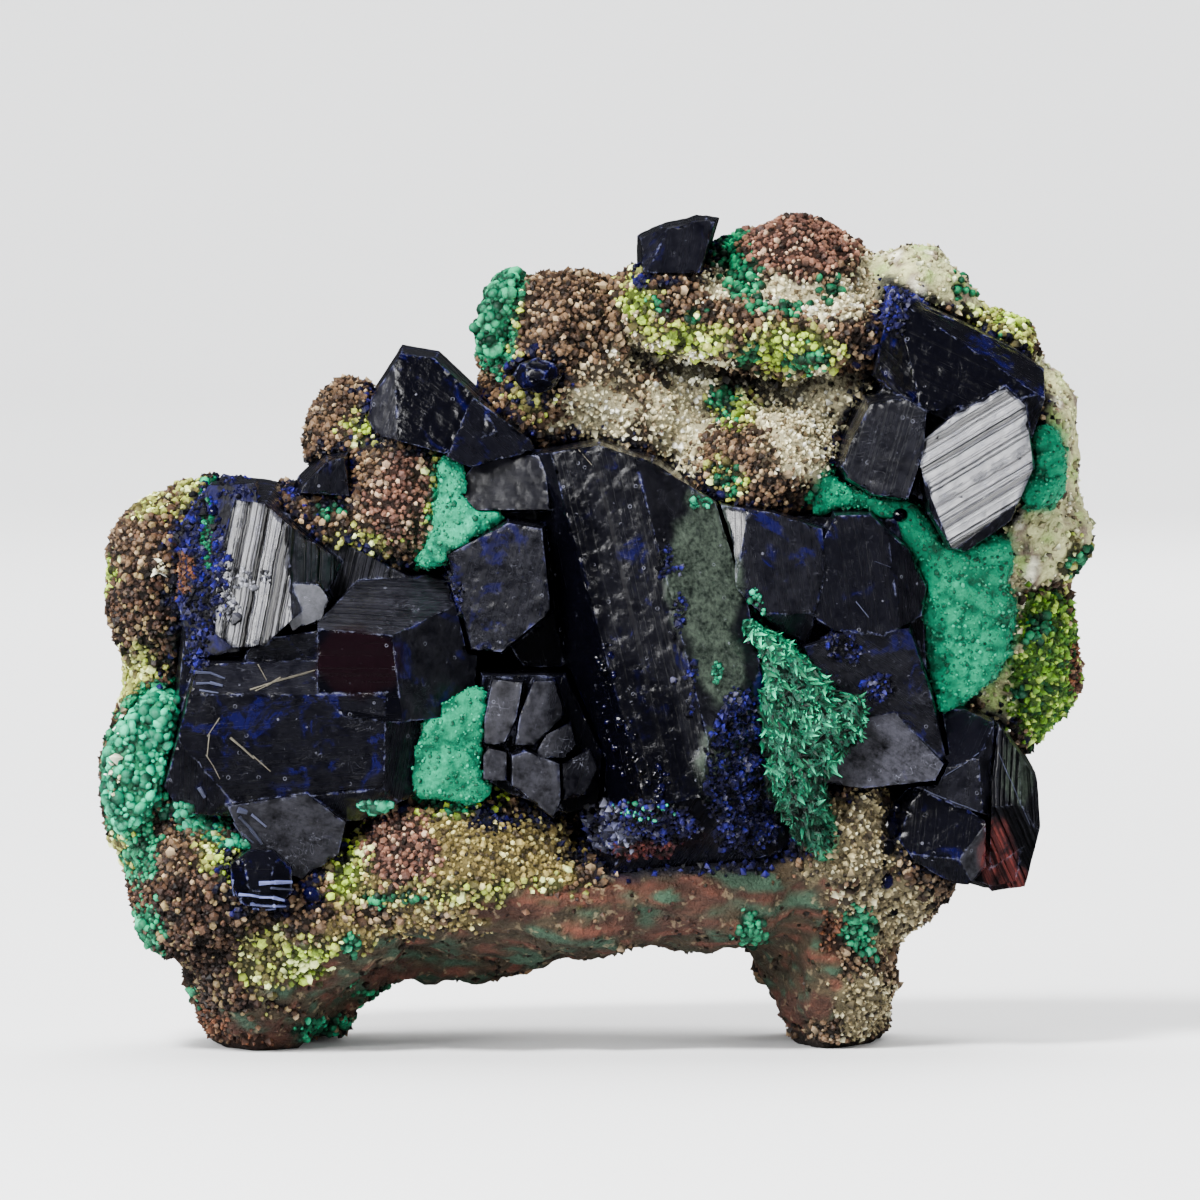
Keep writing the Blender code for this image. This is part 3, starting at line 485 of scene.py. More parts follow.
skin_back = ease(skin_points[:, 1] + 1.6 * clouds(skin_points, 3.0, 4), 2.5, 6.5)
skin_zone, skin_depth = paint_rock(skin_points)
bare_share = ((skin_zone == zone_names.index("bare")) | (skin_zone == zone_names.index("red"))).astype(float)
rough_share = np.maximum(skin_back, bare_share)
knobs = 0.30 * (pebbles(skin_points, 1.7, 1) - 0.6) + 0.30 * clouds(skin_points, 2.8, 2)
broken = 0.45 * clouds(skin_points, 2.0, 5) + 0.30 * clouds(skin_points, 0.9, 6)
relief = knobs * (1 - rough_share) + broken * rough_share + 0.10 * clouds(skin_points, 0.6, 3) - 0.2
shelves = np.round(2.6 * clouds(skin_points * [1, 1, 1.5], 8.0, 21)) / 2.6
shelves = shelves + 0.50 * clouds(skin_points, 2.6, 22) + 0.30 * clouds(skin_points, 1.1, 26)
fault = np.abs(clouds(skin_points, 9.0, 23) + 0.10 * clouds(skin_points, 1.3, 25))
crack = (1 - ease(fault, 0.0, 0.06)) * skin_back
relief = relief + (0.8 * shelves - 0.2) * skin_back - 0.5 * crack

LEDGE_LIP = [(1.4, 55.2), (2.4, 52.6), (4.9, 51.7), (7.2, 50.9), (10.9, 50.5), (13.9, 49.8), (17.1, 50.4), (20.2, 50.9)]


def recess_of(points):
    """1 in the dark hollow right below the lip of the upper ledge, and 0 away from it."""
    lip_x, lip_z = np.array(LEDGE_LIP).T
    below = np.interp(points[:, 0], lip_x, lip_z) - points[:, 2] + 0.5 * clouds(points, 1.1, 17)
    along = ease(points[:, 0], 1.0, 2.6) * (1 - ease(points[:, 0], 19.0, 20.6))
    return ease(below, -0.1, 0.5) * (1 - ease(below, 1.0, 2.4)) * along * (points[:, 1] < 0)


recess = recess_of(skin_points)
relief = relief - 1.6 * recess

# %% [markdown]
# Where the rock touches a crystal the real one is stained blue, and green beside a malachite
# crust. A search tree over the neighbours gives each point of the skin its distance from both.
# The CAD parts keep a small gap there, which the skin closes by swelling towards them.

# %% Closeness to the crystals and the crusts
azurite_nodes = sorted(name for name in frame["nodes"] if name.startswith("azurite"))
malachite_nodes = sorted(name for name in frame["nodes"] if name.startswith("malachite"))


def search_tree(names):
    bm = bmesh.new()
    for name in names:
        bm.from_mesh(frame["nodes"][name].data)
    tree = BVHTree.FromBMesh(bm)
    bm.free()
    return tree


def distance_to(tree, points, reach=2.5):
    """Millimetres to the nearest point of the tree, at most the reach."""
    found = (tree.find_nearest(Vector(point) * MM, reach * MM)[3] for point in points)
    return np.array([reach if away is None else away / MM for away in found])


azurite_tree, malachite_tree = search_tree(azurite_nodes), search_tree(malachite_nodes)
nearest = np.minimum(distance_to(azurite_tree, skin_points), distance_to(malachite_tree, skin_points))
touching = 1 - ease(nearest, 0.45, 1.1)
relief = relief * (1 - touching) + 0.22 * touching
on_foot = ease(skin_points[:, 2], 0.1, 1.2)
move_to(rock_skin.data, skin_points + skin_outward * (relief * on_foot)[:, None])
print("skin:", len(skin_points), "points")
skin_points = points_of(rock_skin.data)
skin_blue = 1 - ease(distance_to(azurite_tree, skin_points) + 0.5 * clouds(skin_points, 1.2, 7), 0.3, 1.3)
skin_green = 1 - ease(distance_to(malachite_tree, skin_points) + 0.5 * clouds(skin_points, 1.2, 8), 0.3, 1.0)

# %% Paint the skin
skin_colour = np.array([palette[:2].mean(0) for palette in palettes])[skin_zone]
patch = np.clip(0.5 + 0.8 * clouds(skin_points, 0.9, 11), 0, 1)[:, None]
open_share = np.maximum(rough_share, (skin_zone == zone_names.index("chalk")).astype(float))
between = open_share.copy()
for name, share in (("cream", 0.34), ("tawny", 0.40), ("sandy", 0.25), ("moss", 0.30)):
    between = np.maximum(between, share * (skin_zone == zone_names.index(name)))
# Painted shade between the grains: the skin is darkened to 0.16 where grains crowd it, and less where it lies open.
skin_colour = skin_colour * (0.62 + 0.5 * patch) * (0.16 + 0.84 * between[:, None])
streak = clouds(skin_points * [0.35, 1.0, 1.3] + [0, 0, 0.25] * skin_points[:, :1], 1.3, 12)
base_green, base_red = np.array(tint(44, 66, 50)), np.array(tint(86, 48, 36))
streaky = skin_colour + (base_green - skin_colour) * ease(streak, 0.08, 0.45)[:, None]
streaky = streaky + (base_red - streaky) * ease(-streak, 0.15, 0.50)[:, None]
skin_colour = np.where(bare_share[:, None] > 0, streaky, skin_colour)
chalk_here = (skin_zone == zone_names.index("chalk"))[:, None]
chalk_bands = clouds(skin_points * [1.0, 1.0, 0.45], 1.5, 18)
for shade, low, high in (((112, 98, 84), 0.16, 0.34), ((236, 234, 206), 0.40, 0.60)):
    share = ease(chalk_bands, low, high)[:, None]
    skin_colour = np.where(chalk_here, skin_colour + (np.array(tint(*shade)) - skin_colour) * share, skin_colour)
share = ease(clouds(skin_points, 1.9, 19), 0.12, 0.34)[:, None]
skin_colour = np.where(chalk_here, skin_colour + (np.array(tint(150, 176, 96)) - skin_colour) * share * 0.8, skin_colour)
earth = np.array(tint(100, 78, 56)) * (0.6 + 0.7 * patch)
ochre = np.array(tint(124, 90, 54)) * np.ones((len(patch), 1))
earth = earth + (ochre - earth) * ease(clouds(skin_points, 5.0, 14), 0.1, 0.5)[:, None]
earth = earth + (np.array(tint(58, 42, 34)) - earth) * ease(clouds(skin_points, 3.2, 15), 0.15, 0.5)[:, None]
verdigris = ease(clouds(skin_points, 2.4, 24), 0.34, 0.52)[:, None]
earth = earth + (np.array(tint(46, 92, 66)) - earth) * verdigris * 0.7
# Painted shade in the cracks of the back; the colour is also lighter on the higher shelves and darker on the lower
# ones.
earth = earth * (0.85 + 0.5 * np.clip(shelves, -0.6, 0.6)[:, None]) * (1 - 0.7 * crack[:, None])
skin_colour = skin_colour + (earth - skin_colour) * skin_back[:, None]
for share, stain in ((skin_green, (8, 120, 80)), (skin_blue, (8, 6, 26))):
    skin_colour = skin_colour + (np.array(tint(*stain)) - skin_colour) * share[:, None] * 0.9
# Painted shade: the hollow under the lip of the ledge is darkened.
skin_colour = skin_colour * (1 - 0.9 * recess[:, None])
store(rock_skin.data, "paint", skin_colour)
store(rock_skin.data, "broken", open_share)

# %% [markdown]
# The skin's shader takes the painted colour and breaks it up with three sizes of noise. Matt
# earth scatters light widely, so its roughness stays high, and fine grit comes from the bump.

# %% Finish of the skin
earthy = Finish("earthy_rock")
grit = earthy.noise(0.35, 4)
blotch = earthy.noise(1.4, 3)
fleck = earthy.noise(0.8, 2).step(0.60, 0.68)
rock_colour = earthy.dim(earthy.painted("paint"), 0.45 + 0.75 * grit + 0.35 * blotch)
rock_colour = earthy.mix(fleck * earthy.drawn("broken") * 0.35, rock_colour, tint(140, 124, 94))
rock_normal = earthy.bump(grit + 0.8 * blotch, 0.35)
earthy_rock = earthy.done(rock_colour, 0.78 + 0.2 * grit, rock_normal)
wear(rock_skin, earthy_rock, "matrix", "matrix_rock")

# %% [markdown]
# ## Druse grains
# Druse is a carpet of tiny crystals, each about 0.4 mm wide, and it is what makes the rock look
# like sugar. Particles would do it, but joined meshes travel better, so the grains are sown as
# points on the skin, at most one per small cube of space, and one eight-faced grain is copied
# to each of them with its own turn, size and palette colour.


# %% Sow points on the skin
def sow(mesh, spacing, seed):
    """Scattered points on the mesh: place, outward direction and the triangle's first vertex."""
    mesh.calc_loop_triangles()
    corner = np.empty(len(mesh.loop_triangles) * 3, np.int32)
    mesh.loop_triangles.foreach_get("vertices", corner)
    corner = corner.reshape(-1, 3)
    points, outward = points_of(mesh), outward_of(mesh)
    a, b, c = (points[corner[:, i]] for i in range(3))
    area = np.linalg.norm(np.cross(b - a, c - a), axis=1) / 2
    luck = np.random.default_rng(seed)
    pick = luck.choice(len(area), int(area.sum() * 5 / spacing ** 2), p=area / area.sum())
    u, v = luck.random((2, len(pick), 1))
    flip = (u + v) > 1
    u, v = np.where(flip, 1 - u, u), np.where(flip, 1 - v, v)
    place = a[pick] + u * (b[pick] - a[pick]) + v * (c[pick] - a[pick])
    cube = np.floor(place / spacing).astype(np.int64)
    key = (cube[:, 0] * 100003 + cube[:, 1]) * 100003 + cube[:, 2]
    keep = np.unique(key, return_index=True)[1]
    return place[keep], outward[corner[pick[keep], 0]], corner[pick[keep], 0]


def grain_shape(around, rings):
    """The points and triangles of one grain of radius 1 with so many sides and rings."""
    bm = bmesh.new()
    bmesh.ops.create_uvsphere(bm, u_segments=around, v_segments=rings, radius=1.0)
    bmesh.ops.triangulate(bm, faces=bm.faces)
    points = np.array([vert.co for vert in bm.verts])
    faces = np.array([[vert.index for vert in face.verts] for face in bm.faces])
    bm.free()
    return points, faces


def scatter(name, shape, places, outward, radius, height, colours, seed):
    """One joined mesh with a copy of the shape at each place, turned by chance about outward."""
    luck = np.random.default_rng(seed)
    lean = outward + 0.45 * luck.normal(size=outward.shape)
    lean /= np.linalg.norm(lean, axis=1)[:, None]
    side = np.cross(lean, luck.normal(size=lean.shape))
    side /= np.linalg.norm(side, axis=1)[:, None]
    other = np.cross(lean, side)
    base, faces = shape
    warp = luck.uniform(0.75, 1.25, (len(places), 3))
    parts = [base[None, :, axis, None] * (warp[:, axis, None] * radius[:, None])[:, :, None] * way[:, None, :]
             for axis, way in ((0, side), (1, other))]
    parts.append(base[None, :, 2, None] * (warp[:, 2] * radius * height)[:, None, None] * lean[:, None, :])
    points = (places[:, None, :] + sum(parts)).reshape(-1, 3)
    corner = (faces[None] + (np.arange(len(places)) * len(base))[:, None, None]).reshape(-1, 3)
    mesh = bpy.data.meshes.new(name)
    mesh.vertices.add(len(points))
    mesh.loops.add(corner.size)
    mesh.polygons.add(len(corner))
    mesh.vertices.foreach_set("co", (points * MM).astype(np.float32).ravel())
    mesh.loops.foreach_set("vertex_index", corner.astype(np.int32).ravel())
    mesh.polygons.foreach_set("loop_start", np.arange(0, corner.size, 3, dtype=np.int32))
    mesh.update(calc_edges=True)
    mesh.validate()
    # Painted shade and light: each grain's colour is darkened at its root and lightened towards its tip.
    painted_root_shade_tip_light = (0.12 + 1.25 * ease(base[:, 2], -0.35, 1.0))[None, :, None]
    store(mesh, "paint", (colours[:, None, :] * painted_root_shade_tip_light).reshape(-1, 3))
    made = bpy.data.objects.new(name, mesh)
    bpy.context.scene.collection.objects.link(made)
    return made


# %% Choose the grains of each zone
GRAIN_SPACING = 0.40
grain_places, grain_outward, grain_vertex = sow(rock_skin.data, GRAIN_SPACING, 3)
grain_zone, grain_depth = paint_rock(grain_places + 0.35 * chance.normal(size=grain_places.shape))
facing = (grain_outward[:, 1] < 0.35) & (grain_places[:, 1] < 4.5 + 1.5 * chance.normal(size=len(grain_places)))
crusted = ~np.isin(grain_zone, [zone_names.index("bare"), zone_names.index("red")])
chalky = grain_zone == zone_names.index("chalk")
sparse = chance.random(len(grain_places)) < np.where(chalky, 0.25, 0.05)
crusted = crusted & ~chalky
clear = (distance_to(azurite_tree, grain_places, 1.0) > 0.06) & (distance_to(malachite_tree, grain_places, 1.0) > 0.0)
grown = facing & (crusted | sparse) & clear & (grain_places[:, 2] > 0.5)
print("grains:", int(grown.sum()), "of", len(grown))

# %% Colour the grains
drift = 0.55 * clouds(grain_places, 0.9, 41) + chance.normal(0, 0.30, len(grain_places))
order = np.searchsorted(np.quantile(drift, [0.15, 0.46, 0.86]), drift)
pick = np.array([3, 1, 0, 2])[order]
grain_colour = np.array(palettes)[grain_zone, pick]
grain_blue, grain_green = skin_blue[grain_vertex], skin_green[grain_vertex]
stained = chance.random(len(grain_places)) < grain_blue * 0.45
grain_colour[stained] = palettes[zone_names.index("violet")][pick[stained]] * 0.35
stained = chance.random(len(grain_places)) < grain_green * 0.8
grain_colour[stained] = palettes[zone_names.index("mint")][pick[stained]]
# Painted shade: grains in the hollow under the lip are darkened too.
grain_colour = grain_colour * chance.uniform(0.6, 1.25, (len(grain_places), 1)) * (1 - 0.85 * recess_of(grain_places))[:, None]

# %% Finish of the grains
sugar = Finish("druse_grains", Specular_IOR_Level=0.6)
glint = sugar.noise(0.3, 2)
# Painted glints: the grain colour is lightened where the glint noise is high.
druse_grains = sugar.done(sugar.dim(sugar.painted("paint"), 0.7 + 0.6 * glint), 0.35 + 0.35 * glint,
                          sugar.bump(sugar.noise(0.12, 2), 0.05))

# %% Copy the grains
FRONT_LIMIT = -0.4
brown = np.isin(grain_zone, [zone_names.index("ground"), zone_names.index("umber")])
sideways = brown & (grain_outward[:, 1] > FRONT_LIMIT)
pointed, rounded, bead = grain_shape(4, 2), grain_shape(5, 3), grain_shape(7, 4)
groups = {
    "druse_brown": (["ground"], rounded, 0.23),
    "druse_umber": (["umber"], rounded, 0.23),
    "druse_maroon": (["maroon"], rounded, 0.21),
    "druse_pale": (["cream", "chalk", "pepper"], pointed, 0.20),
    "druse_sandy": (["sandy"], pointed, 0.22),
    "druse_green": (["olive", "yellow"], rounded, 0.23),
    "druse_moss": (["moss"], pointed, 0.25),
    "druse_tawny": (["tawny"], rounded, 0.19),
    "druse_mixed": (["bare", "red", "orange", "violet"], pointed, 0.22),
    "malachite_beads": (["mint", "emerald"], bead, 0.25),
    "druse_brown_sides": (["ground", "umber"], pointed, 0.25),
}
for number, (name, (members, shape, mean)) in enumerate(groups.items()):
    here = grown & np.isin(grain_zone, [zone_names.index(member) for member in members])
    here = here & (sideways == name.endswith("_sides"))
    size = np.clip(mean * chance.lognormal(0, 0.28, int(here.sum())), 0.1, 0.45)
    grains = scatter(name, shape, grain_places[here], grain_outward[here], size, 1.15,
                     grain_colour[here], 20 + number)
    wear(grains, druse_grains, "malachite" if shape is bead else "matrix", smooth=shape is bead)

# %% [markdown]
# ## Azurite crystals
# Azurite grows in thick dark prisms. Their flat faces carry fine parallel striae, because two
# faces took turns while they grew, and their edges are slightly worn and show the blue that the
# thick body hides. The CAD solids have the exact faces, so each copy keeps them: flat triangles
# are dissolved into whole faces, the sharp edges are bevelled, and each face remembers where it
# lies across its striae, so that the shader can draw them without any picture.

# %% Face hints
class Face:
    """What one face of a crystal looks like: where its middle is seen from the front, which way
    its striae run, how deep they are, how rough it shines, how much painted sheen it has (a grey
    standing in for reflected light), how blue, how broken, and how far it is split into bars."""

    def __init__(self, x, z, run=(0.2, 0.0, 1.0), comb=0.08, rough=0.14, painted_sheen=0.10, blue=0.4,
                 broken=0.2, bars=0.0, mirror=False):
        self.x, self.z, self.run, self.mirror = x, z, Vector(run), mirror
        self.facts = (comb, rough, painted_sheen, blue, broken, bars)


FACTS = ("across", "tone", "comb", "rough", "painted_sheen", "blue", "broken", "bars")
BROKEN = 4
PLAIN_FACE = Face(0, 0)
FACE_REACH = 3.6
FACE_HINTS = {
    "azurite_left": [
        Face(-25.8, 35.2, (0.14, 0, 1), 1.3, 0.20, 1.06, 0.0, 0.1, 1.0, True),
        Face(-21.3, 35.0, (0.25, 0, 1), 0.9, 0.26, 0.4, 0.1, 0.2, 0.5),
        Face(-28.1, 35.5, (0.1, 0, 1), 0.3, 0.55, 0.1, 0.8, 1.0),
        Face(-21.5, 33.2, (1, 0, 0.4), 0.0, 0.35, 1.16, 0.0, 0.15),
        Face(-15.3, 34.0, (1, 0, 0.02), 0.5, 0.28, 0.36, 0.0, 0.1, 0.4),
        Face(-17.4, 27.1, (1, 0, 0), 0.02, 0.10, 0.0, 0.1, 0.1),
        Face(-11.4, 28.6, (0.2, 0, 1), 0.05, 0.25, 0.15, 0.6, 0.4),
        Face(-22.0, 23.6, (1, 0, 0.1), 0.03, 0.13, 0.08, 0.6, 0.3),
        Face(-22.2, 27.7, (1, 0, 0.1), 0.10, 0.20, 0.15, 0.5, 0.4),
        Face(-22.4, 16.3, (1, 0, -0.4), 0.15, 0.35, 0.55, 0.2, 0.3)],
    "azurite_upper_right": [
        Face(27.4, 43.4, (1, 0, 0.56), 1.1, 0.20, 1.18, 0.0, 0.12, 0.0, True),
        Face(26.9, 49.4, (1, 0, -0.5), 0.06, 0.08, 0.0, 0.35, 0.35),
        Face(27.8, 52.8, (1, 0, -0.5), 0.10, 0.12, 0.04, 0.6, 0.6),
        Face(21.9, 51.8, (1, 0, -0.5), 0.10, 0.10, 0.0, 0.60, 0.6),
        Face(21.1, 44.5, (0.3, 0, 1), 0.05, 0.16, 0.15, 0.2, 0.2)],
    "azurite_centre": [
        Face(2.5, 34.5, (-0.25, 0, 1), 0.06, 0.14, 0.07, 0.5, 0.35),
        Face(-2.4, 31.5, (-0.25, 0, 1), 0.02, 0.08, 0.0, 0.1, 0.2),
        Face(7.6, 35.8, (-0.3, 0, 1), 0.03, 0.30, 0.1, 0.2, 0.5),
        Face(-6.8, 42.5, (1, 0, -0.1), 0.03, 0.25, 0.12, 0.1, 0.3),
        Face(-7.1, 34.8, (0.3, 0, 1), 0.1, 0.22, 0.22, 0.6, 0.7),
        Face(10.9, 20.4, (0.2, 0, 1), 0.1, 0.35, 0.05, 0.7, 1.0)],
    "azurite_right": [
        Face(9.9, 38.5, (-0.15, 0, 1), 0.4, 0.15, 0.4, 0.2, 0.1, 0.0, True),
        Face(12.8, 36.1, (-0.15, 0, 1), 0.1, 0.15, 0.15, 0.6, 0.4),
        Face(18.4, 35.3, (-0.15, 0, 1), 0.1, 0.15, 0.05, 0.4, 0.4),
        Face(21.3, 27.0, (0.8, 0, -0.5), 0.1, 0.2, 0.15, 0.6, 0.8),
        Face(20.7, 22.1, (0.8, 0, -0.5), 0.2, 0.35, 0.85, 0.3, 0.2)],
    "azurite_lower_right": [
        Face(32.1, 18.7, (0.1, 0, 1), 1.2, 0.18, 0.25, 0.1, 0.1, 0.6),
        Face(30.2, 14.1, (-0.5, 0, 1), 0.9, 0.25, 0.1, 0.0, 0.2, 0.4),
        Face(25.5, 17.3, (0.1, 0, 1), 0.03, 0.07, 0.0, 0.5, 0.25),
        Face(26.1, 19.9, (0.1, 0, 1), 0.05, 0.12, 0.20, 0.5, 0.4),
        Face(26.6, 23.6, (0.1, 0, 1), 0.05, 0.10, 0.04, 0.2, 0.5),
        Face(27.9, 14.5, (0.1, 0, 1), 0.05, 0.30, 0.6, 0.0, 0.1), Face(25.7, 13.5, blue=0.5)],
    "azurite_mosaic": [Face(x, z, (0.3, 0, 1), 0.06, 0.35, 0.52, 0.0, 0.1)
                       for x, z in ((-7.3, 25.4), (-4.6, 25.5), (-3.3, 23.1), (-7.8, 21.8), (-4.7, 20.7),
                                    (-1.5, 20.9))] + [Face(-4.8, 23.0, painted_sheen=0.0, blue=0.0)],
    "azurite_top_left": [Face(-11.9, 48.4, (0.5, 0, -0.4), 0.06, 0.10, 0.0, 0.5, 0.45),
                         Face(-7.2, 45.5, (0.5, 0, -0.4), 0.08, 0.13, 0.05, 0.5, 0.45),
                         Face(-16.2, 47.7, (0.3, 0, 1), 0.2, 0.25, 0.2, 0.3, 0.5)],
    "azurite_bead": [Face(-4.6, 50.5, (1, 0, 0), 0.02, 0.06, 0.0, 0.6, 0.1)],
    "azurite_small_lower_left": [Face(-25.1, 13.5, (1, 0, 0), 0.02, 0.08, 0.0, 0.55, 0.1)],
}


# %% Dress one cluster
def long_edges(bm, limit):
    return [edge for edge in bm.edges if edge.calc_length() > limit * MM
            and any(face.normal.y < 0.2 for face in edge.link_faces)]


def faceted(node, bevel=0.06, fine=0.45):
    """A cluster with bevelled edges, and on each corner its place across the striae."""
    bm = welded(node)
    bmesh.ops.dissolve_limit(bm, angle_limit=math.radians(1.2), verts=bm.verts, edges=bm.edges)
    bm.normal_update()
    sharp = [edge for edge in bm.edges if edge.calc_face_angle(0.0) > 0.15]
    ends = np.array([[edge.verts[0].co, edge.verts[1].co] for edge in sharp]) / MM
    mark = bm.faces.layers.int.new("face_number")
    faces = {}
    for number, face in enumerate(bm.faces, 1):
        face[mark] = number
        faces[number] = (face.normal.copy(), face.calc_center_median() / MM)
    bmesh.ops.bevel(bm, geom=sharp, offset=bevel * MM, segments=1, affect="EDGES", profile=0.5,
                    material=-1, clamp_overlap=True)
    bmesh.ops.triangulate(bm, faces=bm.faces)
    for _ in range(7):
        split = long_edges(bm, fine)
        if not split:
            break
        bmesh.ops.subdivide_edges(bm, edges=split, cuts=1)
        bmesh.ops.triangulate(bm, faces=[face for face in bm.faces if len(face.verts) > 3])
    bm.normal_update()
    rule = {}
    for number, (normal, middle) in faces.items():
        near = sorted((math.hypot(middle.x - face.x, middle.z - face.z), index, face)
                      for index, face in enumerate(FACE_HINTS.get(node, [])) if normal.y < -0.2)
        hint = near[0][2] if near and near[0][0] < FACE_REACH else PLAIN_FACE
        flat = (hint.run - normal * hint.run.dot(normal)).normalized()
        luck = (math.sin(number * 12.9898) * 43758.5453) % 1.0
        rule[number] = (normal.cross(flat), luck, hint.facts, hint.mirror)
    rows = []
    for face in bm.faces:
        way, luck, facts, mirror = rule.get(face[mark], rule[1])
        face.material_index = int(mirror)
        rows += [(way.dot(vert.co) / MM + 37.0 * luck, luck, *facts) for vert in face.verts]
    amount = np.array([min(rule.get(face[mark], rule[1])[2][BROKEN] for face in vert.link_faces) for vert in bm.verts])
    piece = shown(node + "_grown", bm)
    rows = np.array(rows)
    for index, name in enumerate(FACTS):
        store(piece.data, name, rows[:, index], "CORNER")
    points, outward = points_of(piece.data), outward_of(piece.data)
    edge = edge_closeness(points, ends)
    store(piece.data, "edge", edge)
    lumps = (0.16 * clouds(points, 1.3, 51) + 0.14 * pebbles(points, 0.9, 52) + 0.07 * clouds(points, 0.5, 53) - 0.08)
    nicks = -0.22 * ease(edge, 0.75, 1.0) * ease(clouds(points, 0.9, 54) + 0.4 * clouds(points, 0.4, 55), 0.05, 0.5)
    move_to(piece.data, points + outward * (lumps * amount + nicks)[:, None])
    piece.data.set_sharp_from_angle(angle=math.radians(28))
    return piece


def edge_closeness(points, ends, reach=1.2):
    """1 on the nearest sharp edge of the cluster and 0 from the reach on."""
    best = np.full(len(points), reach)
    for start, end in ends:
        run = end - start
        share = np.clip(((points - start) @ run) / max(run @ run, 1e-9), 0, 1)
        best = np.minimum(best, np.linalg.norm(points - start - share[:, None] * run, axis=1))
    return 1 - best / reach


# %% Finish of the crystals
# Three real stains and one painted shade, each stored on the clusters.
STAINS_AND_SHADE = ("green_coat", "wine", "rust", "painted_shade")


